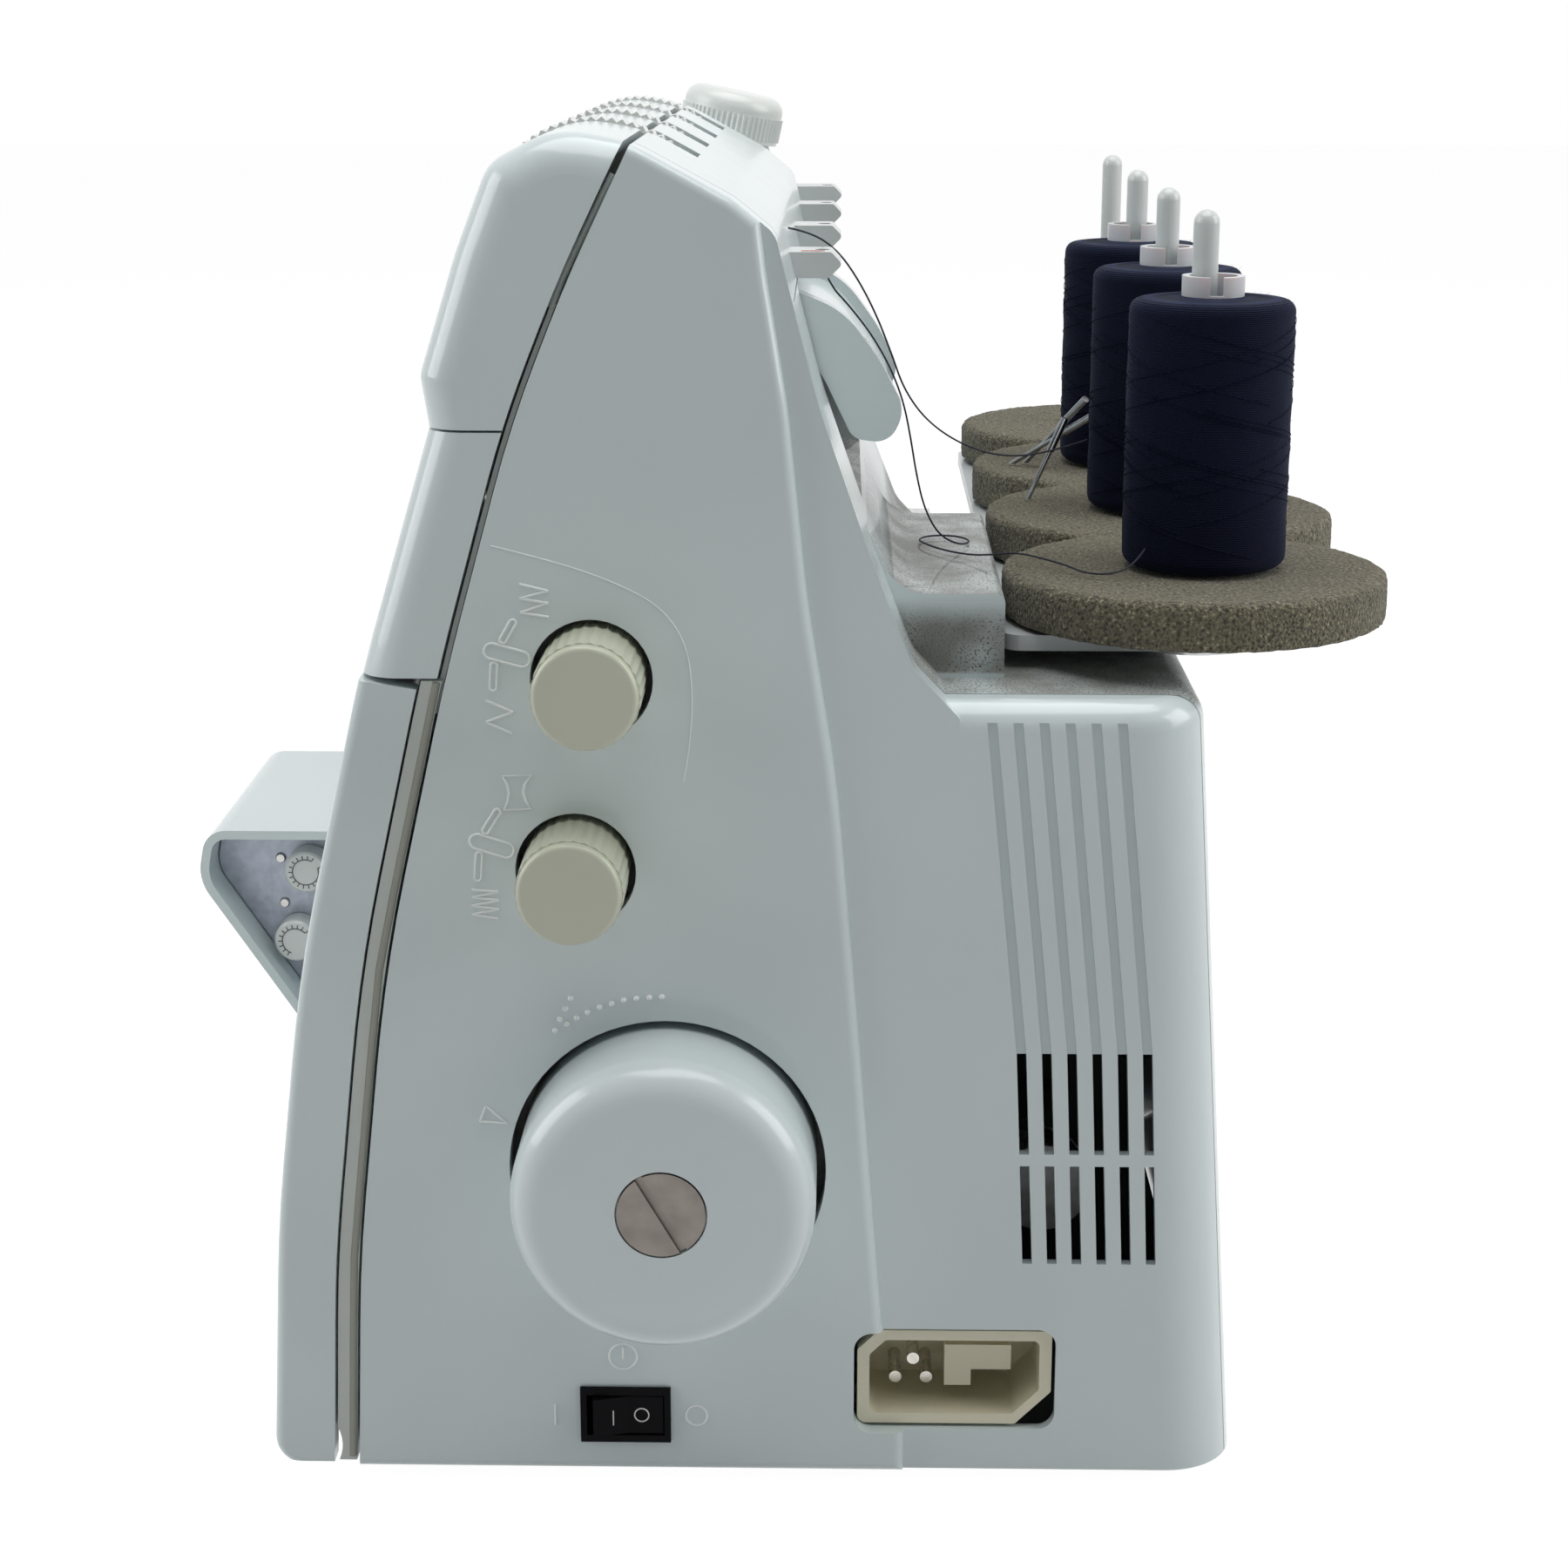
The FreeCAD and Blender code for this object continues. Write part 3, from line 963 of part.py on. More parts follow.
def needle_plate():
    top = BED_Z + PLATE_PROUD
    plate = block(*PLATE_X, *PLATE_Y, top - PLATE_THICK, top)
    half = NEEDLE_SLOT_HALF
    cuts = [block(NEEDLE_X - half, NEEDLE_X + half, *NEEDLE_SLOT_Y, BED_Z - 9, BED_Z + 9)]
    for x0, x1 in FEED_X:
        cuts.append(block(x0 - 1, x1 + 1, FEED_Y[0] - 1, FEED_Y[1] + FEED_TRAVEL + 1, BED_Z - 9, BED_Z + 9))
    return plate.cut(cuts)


def feed_dogs():
    """Two toothed bars on one carrier, in the slots of the needle plate."""
    y0, y1 = FEED_Y
    carrier = block(FEED_X[0][0], FEED_X[1][1], y0, y1, BED_Z - 16, BED_Z - 10)
    bars = [block(a, b, y0, y1, BED_Z - 11, BED_Z + 0.2) for a, b in FEED_X]
    teeth = []
    for i in range(int((y1 - y0) / FEED_PITCH)):
        tooth = block(FEED_X[0][0] - 1, FEED_X[1][1] + 1, -0.6, 0.6, -0.6, 0.6)
        tooth.rotate(V(0, 0, 0), V(1, 0, 0), 45)
        tooth.translate(V(0, y0 + (i + 0.5) * FEED_PITCH, BED_Z + 0.2))
        teeth.append(tooth)
    return union(carrier, *bars).cut(teeth)


def looper(x_range, tip):
    """A looper arm: an eye on the looper shaft and a tapered arm up to its tip."""
    y, z = LOOPER_AXIS
    tip_y, tip_z = tip
    corners = [(y - 5, z, 0.0), (y + 5, z, 0.0), (tip_y + 2, tip_z, 1.0), (tip_y - 2, tip_z, 1.0)]
    eye = rod_x(ARM_EYE_R, *x_range, LOOPER_AXIS)
    return union(prism(corners, *x_range), eye).cut(rod_x(LOW_SHAFT_R + RUNNING, *x_range, LOOPER_AXIS))


def upper_knife():
    """Moving knife: an arm on the knife shaft that rises through the bed beside the needle plate."""
    y, z = KNIFE_AXIS
    front, back = KNIFE_BLADE_Y
    low, high = KNIFE_ELBOW_Z
    arm = [
        (y, z - KNIFE_ARM_HALF, 0.0), (y, z + KNIFE_ARM_HALF, 0.0), (back, high, KNIFE_BENDS[0]),
        (back, BED_Z + KNIFE_RISE[0], 0.0), (front, BED_Z + KNIFE_RISE[1], 0.0),
        (front, low, KNIFE_BENDS[1]),
    ]
    eye = rod_x(ARM_EYE_R, *KNIFE_X, KNIFE_AXIS)
    hole = rod_x(LOW_SHAFT_R + RUNNING, *KNIFE_X, KNIFE_AXIS)
    return union(prism(arm, *KNIFE_X), eye).cut(hole)


def dial_bracket():
    """Grey plate inside the nose that carries the two dials."""
    plate = prism(NOSE_OUTLINE, NOSE_PLATE_X[0], NOSE_PLATE_X[1], WALL + 0.3)
    bed = prism(BED_OUTLINE, LEFT_X, COLUMN_X + 1, -0.3)
    holes = [rod_x(2.5 + RUNNING, NOSE_PLATE_X[0] - 1, NOSE_PLATE_X[1] + 1, place) for place in NOSE_DIALS]
    return keep_largest(plate.cut([bed] + holes))


def nose_dial(place):
    face_x = NOSE_PLATE_X[1] + 8.5
    cap = rod_x(NOSE_DIAL_R, NOSE_PLATE_X[1] + 0.5, face_x, place)
    cap = cap.makeChamfer(0.6, end_edges(cap, face_x))
    return union(cap, rod_x(2.5, NOSE_PLATE_X[0] - 5, NOSE_PLATE_X[1] + 0.5, place))


def pin_places():
    return [(PIN_FIRST_X - i * PIN_PITCH, PIN_Y) for i in range(PIN_COUNT)]


def thread_guides():
    """Flat guide levers on the top cover's back, one in line with each spool pin."""
    body = housing_outer().fuse(prism(HEAD_OUTLINE, LEFT_X, COLUMN_X - SEAM))
    half = GUIDE_WIDTH / 2
    guides = []
    for x, y in pin_places():
        arm = prism(GUIDE_OUTLINE, x - half, x + half)
        eye = Part.makeCylinder(GUIDE_EYE[1], 30, V(x, GUIDE_EYE[0], GUIDE_OUTLINE[0][1] - 10))
        guides.append(keep_largest(arm.cut([body, eye])))
    return Part.makeCompound(guides)


def carrying_handle():
    """Grip over the recess: a curved bar between two higher end rims."""
    x0, x1 = HANDLE_X
    rims = [prism(HANDLE_OUTLINE, x0, x0 + HANDLE_RIM), prism(HANDLE_OUTLINE, x1 - HANDLE_RIM, x1)]
    grip = prism(HANDLE_OUTLINE, x0 + 1, x1 - 1, HANDLE_STEP)
    return union(grip, *rims)


def thread_stand_tray():
    """White tray with a dish under each spool, standing on two posts on the motor housing."""
    z1 = MAT_Z[0]
    plate = block(TRAY_X[0], TRAY_X[1], TRAY_Y[0], TRAY_Y[1], z1 - TRAY_THICK, z1)
    plate = plate.makeFillet(4.0, [e for e in plate.Edges if e.BoundBox.ZLength > 1])
    dishes = [Part.makeCone(DISH_FOOT_R, DISH_R, DISH_DROP, V(x, y, z1 - DISH_DROP)) for x, y in pin_places()]
    posts = [Part.makeCylinder(POST_R, z1 - REAR_TOP_Z, V(x, y, REAR_TOP_Z)) for x, y in POST_PLACES]
    return union(plate, *dishes, *posts)


def foam_mat():
    """One foam mat of four round lobes with a hole for each pin."""
    height = MAT_Z[1] - MAT_Z[0]
    lobes = [Part.makeCylinder(MAT_LOBE_R, height, V(x, y, MAT_Z[0])) for x, y in pin_places()]
    hole_r = PIN_FOOT_R + PIN_CLEARANCE
    holes = [Part.makeCylinder(hole_r, height, V(x, y, MAT_Z[0])) for x, y in pin_places()]
    return union(*lobes).cut(holes)


def spool_pins():
    """Pins with a round tip, each on a thicker foot that fills the mat's hole."""
    low, high = MAT_Z
    pins = []
    for x, y in pin_places():
        foot = Part.makeCylinder(PIN_FOOT_R, high - low, V(x, y, low))
        pin = Part.makeCylinder(PIN_R, PIN_TOP_Z - high - PIN_R, V(x, y, high))
        tip = Part.makeSphere(PIN_R, V(x, y, PIN_TOP_Z - PIN_R))
        pins.append(union(foot, pin, tip))
    return Part.makeCompound(pins)


def spool_axis(i):
    x, y = pin_places()[i]
    return V(x + SPOOL_SHIFT[i][0], y + SPOOL_SHIFT[i][1], MAT_Z[1] + SPOOL_GAP)


def spool_core(i):
    """Tube with a notch in its upper rim that holds the thread's end."""
    foot = spool_axis(i)
    bore = Part.makeCylinder(CORE_BORE_R, CORE_H, foot)
    w, h = CORE_NOTCH
    top = foot.z + CORE_H
    notch = block(foot.x, foot.x + 2 * CORE_R, foot.y - w / 2, foot.y + w / 2, top - h, top + 1)
    return Part.makeCylinder(CORE_R, CORE_H, foot).cut([bore, notch])


def spool_winding(i):
    wound = Part.makeCylinder(SPOOL_R, SPOOL_H, spool_axis(i))
    wound = wound.makeFillet(SHOULDER, [e for e in wound.Edges if e.Closed])
    return wound.cut(Part.makeCylinder(CORE_R, SPOOL_H, spool_axis(i)))


def spare_needles():
    """Three needles stuck into the foam, a thick shank above a thin blade."""
    mat = block(-300, 300, 0, 300, 0, MAT_Z[1])
    rods = []
    for low, high in SPARE_NEEDLES:
        foot, top = V(*low), V(*high)
        along = top - foot
        blade = Part.makeCylinder(0.6, along.Length * 0.6 + 2, foot - along * (2 / along.Length), along)
        shank = Part.makeCylinder(1.0, along.Length * 0.4, foot + along * 0.6, along)
        rods.append(keep_largest(union(blade, shank).cut(mat)))
    return Part.makeCompound(rods)


def thread(points):
    """A thread along a route: straight runs joined by arcs as large as the runs beside them allow."""
    route = [V(*point) for point in points]
    edges = []
    radii = []
    start = route[0]
    for before, here, after in zip(route, route[1:], route[2:]):
        back = before - here
        ahead = after - here
        reach = 0.45 * min(back.Length, ahead.Length)
        half_turn = (math.pi - back.getAngle(ahead)) / 2
        radius = reach / math.tan(half_turn)
        back.normalize()
        ahead.normalize()
        bisector = back + ahead
        bisector.normalize()
        middle = here + bisector * (radius / math.cos(half_turn) - radius)
        edges.append(Part.LineSegment(start, here + back * reach).toShape())
        edges.append(Part.Arc(here + back * reach, middle, here + ahead * reach).toShape())
        start = here + ahead * reach
        radii.append(round(radius, 1))
    edges.append(Part.LineSegment(start, route[-1]).toShape())
    path = Part.Wire(edges)
    section = Part.Wire(Part.makeCircle(THREAD_D / 2, route[0], route[1] - route[0]))
    tube = path.makePipeShell([section], True, True)
    full = math.pi * THREAD_D ** 2 / 4 * path.Length
    share = round(tube.Volume / full, 3)
    print("thread length", round(path.Length, 1), "volume share", share, "radii", radii)
    return tube


def export(name, shape):
    if not shape.isValid():
        raise ValueError(name + " is not valid")
    shape.exportStep("parts/" + name + ".step")
    print(name, len(shape.Solids), round(shape.Volume / 1000, 2), "cm3")


for cover_name, cover_shape in housing_covers().items():
    export(cover_name, cover_shape)
export("front_frame", front_frame())
export("left_cover", head_cover())
export("bed_cover", bed_cover())
export("nose_shell", nose_shell())
export("base_pan", base_pan())
export("rubber_feet", rubber_feet())
export("base_screws", base_screws())
export("main_frame", main_frame())
export("fixed_shafts", fixed_shafts())
export("shaft_bushes", shaft_bushes())
export("handwheel", handwheel())
export("handwheel_screw", handwheel_screw())
export("main_shaft", main_shaft())
export("motor", motor())
export("motor_pulley", motor_pulley())
export("drive_belt", drive_belt())
export("stitch_length_knob", panel_knob(STITCH_KNOB))
export("differential_knob", panel_knob(FEED_KNOB))
export("switch_housing", switch_housing())
export("power_rocker", power_rocker())
export("power_inlet", power_inlet())
export("inlet_pins", inlet_pins())
for i, dial_x in enumerate(TENSION_X):
    export("tension_dial_" + str(i + 1), tension_dial(dial_x))
export("pressure_knob", pressure_knob())
export("presser_bar", presser_bar())
export("presser_foot", presser_foot())
export("foot_lifter", foot_lifter())
export("needle_bar", needle_bar())
export("needles", needles())
export("needle_plate", needle_plate())
export("feed_dogs", feed_dogs())
export("upper_looper", looper(UPPER_LOOPER_X, UPPER_LOOPER_TIP))
export("lower_looper", looper(LOWER_LOOPER_X, LOWER_LOOPER_TIP))
export("upper_knife", upper_knife())
export("dial_bracket", dial_bracket())
export("cutting_width_dial", nose_dial(NOSE_DIALS[0]))
export("fine_control_dial", nose_dial(NOSE_DIALS[1]))
export("thread_guides", thread_guides())
export("carrying_handle", carrying_handle())
export("thread_stand_tray", thread_stand_tray())
export("foam_mat", foam_mat())
export("spool_pins", spool_pins())
for i in range(len(SPOOL_SHIFT)):
    export("spool_core_" + str(i + 1), spool_core(i))
    export("spool_winding_" + str(i + 1), spool_winding(i))
export("spare_needles", spare_needles())
export("thread_1", thread(THREAD_1))
export("thread_2", thread(THREAD_2))
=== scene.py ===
"""Looks of a home serger (overlock machine) with its thread stand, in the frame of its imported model.

Metres. +Z is up, the operator sits at -Y, and the handwheel is at +X.
"""

import math
import random

import bmesh
import bpy
from mathutils import Matrix, Vector, noise


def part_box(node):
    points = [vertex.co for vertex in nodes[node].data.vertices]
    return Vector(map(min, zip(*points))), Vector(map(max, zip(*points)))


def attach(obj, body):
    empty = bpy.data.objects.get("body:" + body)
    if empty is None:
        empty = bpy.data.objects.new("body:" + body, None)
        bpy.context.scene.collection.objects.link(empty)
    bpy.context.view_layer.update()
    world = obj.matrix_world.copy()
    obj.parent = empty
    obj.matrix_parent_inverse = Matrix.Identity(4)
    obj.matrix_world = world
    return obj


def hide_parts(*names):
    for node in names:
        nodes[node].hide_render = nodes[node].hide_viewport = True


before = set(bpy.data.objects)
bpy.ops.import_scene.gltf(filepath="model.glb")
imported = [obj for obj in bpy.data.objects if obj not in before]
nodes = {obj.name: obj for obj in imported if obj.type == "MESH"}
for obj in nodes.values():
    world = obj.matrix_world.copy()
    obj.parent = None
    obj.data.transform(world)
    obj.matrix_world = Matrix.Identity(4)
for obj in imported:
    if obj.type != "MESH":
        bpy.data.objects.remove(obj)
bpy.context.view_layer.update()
scene = bpy.context.scene

# Camera
# A long lens looks at the handwheel side from a little above, almost square to the panel.
# It dips so far that the horizon lies on the upper edge of a square picture.
CAMERA_PLACE = Vector((0.731, 0.0307, 0.323))
CAMERA_HEADING = Vector((-1.0, -0.02, 0.0)).normalized()
CAMERA_DIP = math.radians(15.48)
LENS_LENGTH = 65.0
SENSOR_WIDTH = 36.0


def turned_along(sight):
    """The turn that points a camera or a lamp along a line of sight."""
    return sight.to_track_quat("-Z", "Y").to_euler()


lens = bpy.data.cameras.new("camera")
lens.lens = LENS_LENGTH
lens.sensor_width = SENSOR_WIDTH
camera = bpy.data.objects.new("camera", lens)
camera.location = CAMERA_PLACE
camera.rotation_euler = turned_along(
    CAMERA_HEADING * math.cos(CAMERA_DIP) - Vector((0, 0, math.sin(CAMERA_DIP))))
scene.collection.objects.link(camera)
scene.camera = camera
scene.view_settings.view_transform = "Standard"

# Studio
# A white seamless floor under large soft boxes: overhead, on the operator's side and behind.
# They only graze the panel that faces the camera, which the floor and the pale room light as well.
FLOOR_SIZE = 12.0
FLOOR_DROP = 0.0002
FLOOR_ALBEDO = 0.70
FLOOR_SHADE = 0.25
FLOOR_GLOW = 0.96
ROOM_LIGHT = 0.10
ROOM_COLOUR = (0.95, 0.985, 1.0)


def lit_or_seen(tree, lit, seen):
    """One shader for the light on things, and another for the camera, for reflections and through glass."""
    rays = tree.nodes.new("ShaderNodeLightPath")
    shown = rays.outputs["Is Camera Ray"]
    for kind in ("Is Glossy Ray", "Is Transmission Ray"):
        either = tree.nodes.new("ShaderNodeMath")
        either.operation = "MAXIMUM"
        tree.links.new(shown, either.inputs[0])
        tree.links.new(rays.outputs[kind], either.inputs[1])
        shown = either.outputs[0]
    pick = tree.nodes.new("ShaderNodeMixShader")
    for socket, source in zip(pick.inputs, (shown, lit, seen)):
        tree.links.new(source, socket)
    return pick.outputs[0]


def matt(tree, level):
    """A matt grey shader."""
    shader = tree.nodes.new("ShaderNodeBsdfDiffuse")
    shader.inputs["Color"].default_value = (level, level, level, 1)
    return shader.outputs[0]


floor_mesh = bpy.data.meshes.new("floor")
half_floor = FLOOR_SIZE / 2
floor_corners = [(x * half_floor, y * half_floor, 0) for x, y in ((-1, -1), (1, -1), (1, 1), (-1, 1))]
floor_mesh.from_pydata(floor_corners, [], [(0, 1, 2, 3)])
floor = bpy.data.objects.new("floor", floor_mesh)
floor.location.z = -FLOOR_DROP
scene.collection.objects.link(floor)
floor_finish = bpy.data.materials.new("white floor")
floor_finish.use_nodes = True
floor_tree = floor_finish.node_tree
floor_tree.nodes.clear()
glow = floor_tree.nodes.new("ShaderNodeEmission")
glow.inputs["Strength"].default_value = FLOOR_GLOW
floor_seen = floor_tree.nodes.new("ShaderNodeAddShader")
floor_tree.links.new(matt(floor_tree, FLOOR_SHADE), floor_seen.inputs[0])
floor_tree.links.new(glow.outputs[0], floor_seen.inputs[1])
floor_look = lit_or_seen(floor_tree, matt(floor_tree, FLOOR_ALBEDO), floor_seen.outputs[0])
floor_output = floor_tree.nodes.new("ShaderNodeOutputMaterial")
floor_tree.links.new(floor_look, floor_output.inputs["Surface"])
floor_mesh.materials.append(floor_finish)

room = bpy.data.worlds.new("room")
room.use_nodes = True
scene.world = room
room_tree = room.node_tree
room_light = room_tree.nodes["Background"]
room_light.inputs["Color"].default_value = (*ROOM_COLOUR, 1)
room_light.inputs["Strength"].default_value = ROOM_LIGHT
room_white = room_tree.nodes.new("ShaderNodeBackground")
room_white.inputs["Color"].default_value = (1, 1, 1, 1)
room_look = lit_or_seen(room_tree, room_light.outputs[0], room_white.outputs[0])
room_tree.links.new(room_look, room_tree.nodes["World Output"].inputs["Surface"])

# Each box has its place, the point that it faces, its side and its watts.
SOFT_BOXES = {
    "overhead box": ((0.10, 0.05, 1.35), (0.05, 0.02, 0.15), 1.1, 11.5),
    "operator side box": ((0.25, -1.35, 0.70), (0.05, 0.0, 0.15), 1.0, 10.0),
    "rear box": ((0.25, 1.35, 0.75), (0.05, 0.0, 0.18), 1.0, 10.5),
}
for box_name, (place, target, size, power) in SOFT_BOXES.items():
    lamp = bpy.data.lights.new(box_name, "AREA")
    lamp.shape = "SQUARE"
    lamp.size = size
    lamp.energy = power
    lamp_object = bpy.data.objects.new(box_name, lamp)
    lamp_object.location = place
    lamp_object.rotation_euler = turned_along(Vector(target) - Vector(place))
    scene.collection.objects.link(lamp_object)

# Loose threads
# Two spun polyester threads hang from the top cover's rear edge and from a guide lever, over the
# carrying handle, to the spools. Each lies loose on the way and runs onto its wound spool.
THREAD_THICK = 0.00045
# Each thread has its length in metres, and its points in millimetres.
THREAD_ROUTES = {
    "thread_1": (0.1235, [
        (92.0, 18.9, 274.2), (88.0, 24.0, 272.9), (82.5, 29.8, 268.6), (76.0, 34.6, 261.4),
        (70.0, 39.0, 252.5), (64.5, 42.6, 243.0), (59.0, 45.8, 233.8), (52.5, 51.5, 225.5),
        (46.0, 60.0, 219.0), (39.5, 70.0, 215.0), (32.5, 81.5, 214.7), (26.5, 92.2, 217.3),
    ]),
    "thread_2": (0.1816, [
        (100.5, 26.5, 267.0), (99.6, 28.2, 262.4), (97.5, 32.4, 257.8), (95.0, 37.3, 251.4),
        (93.0, 41.6, 244.0), (91.5, 44.8, 236.0), (90.0, 46.6, 227.5), (88.5, 48.0, 219.0),
        (87.0, 50.0, 210.5), (84.5, 53.5, 203.8), (80.0, 58.6, 200.6), (73.0, 61.8, 200.2),
        (66.5, 58.8, 200.3), (65.0, 52.6, 200.2), (70.5, 49.0, 200.3), (77.5, 50.2, 200.6),
        (85.5, 54.5, 200.5), (92.5, 60.5, 200.7), (98.0, 65.0, 201.8), (101.5, 70.5, 203.1),
        (104.5, 77.0, 202.1), (109.5, 82.0, 201.4), (115.5, 84.5, 201.2), (118.5, 90.0, 201.4),
        (116.5, 95.2, 202.8), (113.0, 98.1, 206.1),
    ]),
}
NAVY = (0.0044, 0.0060, 0.0170)


def new_finish(name):
    """A material with its node tree, its shader, and positions in the machine's own frame."""
    material = bpy.data.materials.new(name)
    material.use_nodes = True
    tree = material.node_tree
    place = tree.nodes.new("ShaderNodeTexCoord").outputs["Object"]
    return material, tree, tree.nodes["Principled BSDF"], place


def set_levels(node, levels):
    """Sets a node's inputs by their names."""
    for name, level in levels.items():
        node.inputs[name].default_value = level


def cloudy(tree, place, scale, detail=2.0):
    """A soft noise of zero to one."""
    texture = tree.nodes.new("ShaderNodeTexNoise")
    set_levels(texture, {"Scale": scale, "Detail": detail})
    tree.links.new(place, texture.inputs["Vector"])
    return texture.outputs[0]


def paint(tree, shader, value, *stops):
    """Colours a shader along a value of zero to one, by stops of (value, colour)."""
    ramp = tree.nodes.new("ShaderNodeValToRGB")
    while len(ramp.color_ramp.elements) < len(stops):
        ramp.color_ramp.elements.new(0.5)
    for element, (at, colour) in zip(ramp.color_ramp.elements, stops):
        element.position = at
        element.color = (*colour, 1)
    tree.links.new(value, ramp.inputs["Fac"])
    tree.links.new(ramp.outputs["Color"], shader.inputs["Base Color"])


def shades(colour, low, high):
    """A darker and a lighter shade of one colour."""
    return [tuple(min(1.0, part * share) for part in colour) for share in (low, high)]


def metres(*millimetres):
    """Lengths in millimetres, turned into metres."""
    return [length / 1000 for length in millimetres]


def tube(name, lines, material, radius, roundness, kind="POLY"):
    """A round bar with closed ends along each of the lines, which are (points in metres, closed)."""
    curve = bpy.data.curves.new(name, "CURVE")
    curve.dimensions = "3D"
    curve.bevel_depth = radius
    curve.bevel_resolution = roundness
    curve.resolution_u = 8
    curve.use_fill_caps = True
    for points, closed in lines:
        spline = curve.splines.new(kind)
        spline.points.add(len(points) - 1)
        for point, spot in zip(spline.points, points):
            point.co = (*spot, 1)
        if kind == "NURBS":
            spline.order_u = 3
            spline.use_endpoint_u = True
        spline.use_cyclic_u = closed
    curve.materials.append(material)
    piece = bpy.data.objects.new(name, curve)
    scene.collection.objects.link(piece)
    return piece


thread_finish, tree, shader, place = new_finish("twisted navy thread")
dark, light = shades(NAVY, low=0.5, high=1.6)
paint(tree, shader, cloudy(tree, place, scale=900.0), (0.35, dark), (0.65, light))
set_levels(shader, {"Roughness": 0.75, "Sheen Weight": 0.05})

for thread_name, (length, route) in THREAD_ROUTES.items():
    points = [metres(*spot) for spot in route]
    strand = tube(thread_name + "_strand", [(points, False)], thread_finish, radius=THREAD_THICK / 2,
                  roundness=2, kind="NURBS")
    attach(strand, "machine")
    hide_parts(thread_name)

# Housing covers
# Injection moulded covers in glossy off-white plastic: two front covers, the hinged looper cover, the
# right, left and top covers, the bed with its nose, and the handle. They meet along fine seams.
HOUSING_WHITE = (0.60, 0.675, 0.68)


def between(tree, value, low, high):
    """A value of zero to one, spread from low to high."""
    spread = tree.nodes.new("ShaderNodeMapRange")
    set_levels(spread, {"To Min": low, "To Max": high})
    tree.links.new(value, spread.inputs["Value"])
    return spread.outputs["Result"]


def relief(tree, shader, height, strength, depth):
    """Fine bumps on a shader's surface, from a height of zero to one."""
    bump = tree.nodes.new("ShaderNodeBump")
    set_levels(bump, {"Strength": strength, "Distance": depth})
    tree.links.new(height, bump.inputs["Height"])
    tree.links.new(bump.outputs["Normal"], shader.inputs["Normal"])


def moulded_plastic(name, colour, rough, grain=1500.0):
    """Plastic with slight clouding in its colour and a faint moulded grain."""
    material, tree, shader, place = new_finish(name)
    dull, pale = shades(colour, low=0.97, high=1.02)
    paint(tree, shader, cloudy(tree, place, scale=14.0), (0.35, dull), (0.65, pale))
    handled = between(tree, cloudy(tree, place, scale=35.0), low=rough - 0.02, high=rough + 0.03)
    tree.links.new(handled, shader.inputs["Roughness"])
    relief(tree, shader, cloudy(tree, place, scale=grain), strength=0.015, depth=0.00005)
    set_levels(shader, {"Coat Weight": 0.25, "Coat Roughness": 0.04})
    return material


def dress(material, *names):
    """Gives CAD nodes a finish."""
    for name in names:
        for slot in nodes[name].material_slots:
            slot.material = material


housing_finish = moulded_plastic("glossy off-white housing", HOUSING_WHITE, rough=0.20)
dress(housing_finish, "right_cover", "top_cover", "upper_front_cover", "middle_front_cover", "looper_cover",
      "left_cover", "bed_cover", "nose_shell", "carrying_handle")

# Rear cover
# The cover over the motor, of the same plastic and screwed on behind. Lint and thread dust lie on its
# top and against the wall above it, in the corner that the thread stand keeps out of reach, and painted shade
# from the stand darkens the same places.
# The darkening colour below is dust with painted shade in it, darker than the dust alone.
SHELF_DUST_AND_SHADE = (0.095, 0.086, 0.068)
SHELF_ROUGH = 0.22
SHELF_Z = (0.175, 0.178)
SHELF_FACING = (0.3, 0.8)
CORNER_FOOT_Z = (0.1815, 0.1825)
CORNER_TOP_Z = (0.192, 0.1995)
CORNER_Y = (0.020, 0.034)
SPECK_COVER = 0.95
FILM_COVER = 0.85
DUST_DULLING = 0.65


def worked_out(tree, operation, *values):
    """A number computed from links or plain numbers."""
    sum_node = tree.nodes.new("ShaderNodeMath")
    sum_node.operation = operation
    for socket, value in zip(sum_node.inputs, values):
        if isinstance(value, (int, float)):
            socket.default_value = value
        else:
            tree.links.new(value, socket)
    return sum_node.outputs[0]


def stepped(tree, value, low, high):
    """Zero below low, one above high, and smooth between them."""
    step = tree.nodes.new("ShaderNodeMapRange")
    step.interpolation_type = "SMOOTHSTEP"
    set_levels(step, {"From Min": low, "From Max": high})
    tree.links.new(value, step.inputs["Value"])
    return step.outputs["Result"]


def axes_of(tree, vector):
    """The X, Y and Z of a vector, by their names."""
    parts = tree.nodes.new("ShaderNodeSeparateXYZ")
    tree.links.new(vector, parts.inputs[0])
    return parts.outputs


rear_finish = moulded_plastic("dusty and shaded rear cover", HOUSING_WHITE, rough=SHELF_ROUGH)
tree = rear_finish.node_tree
shader = tree.nodes["Principled BSDF"]
place = tree.nodes["Texture Coordinate"].outputs["Object"]
facing = axes_of(tree, tree.nodes.new("ShaderNodeNewGeometry").outputs["Normal"])
spot = axes_of(tree, place)
# A mask of specks and a film over the shelf and the corner wall: partly real dust, partly painted shade cast
# by the thread stand.
shelf = worked_out(tree, "MULTIPLY", stepped(tree, facing["Z"], *SHELF_FACING),
                   stepped(tree, spot["Z"], *SHELF_Z))
below_top = worked_out(tree, "SUBTRACT", 1.0, stepped(tree, spot["Z"], *CORNER_TOP_Z))
corner_height = worked_out(tree, "MULTIPLY", stepped(tree, spot["Z"], *CORNER_FOOT_Z), below_top)
corner = worked_out(tree, "MULTIPLY", corner_height, stepped(tree, spot["Y"], *CORNER_Y))
specks = stepped(tree, cloudy(tree, place, scale=1900.0, detail=3.0), low=0.53, high=0.60)
film = stepped(tree, cloudy(tree, place, scale=70.0, detail=4.0), low=0.05, high=0.70)
lint_and_shade = worked_out(tree, "MAXIMUM", worked_out(tree, "MULTIPLY", specks, SPECK_COVER),
                  worked_out(tree, "MULTIPLY", film, FILM_COVER))
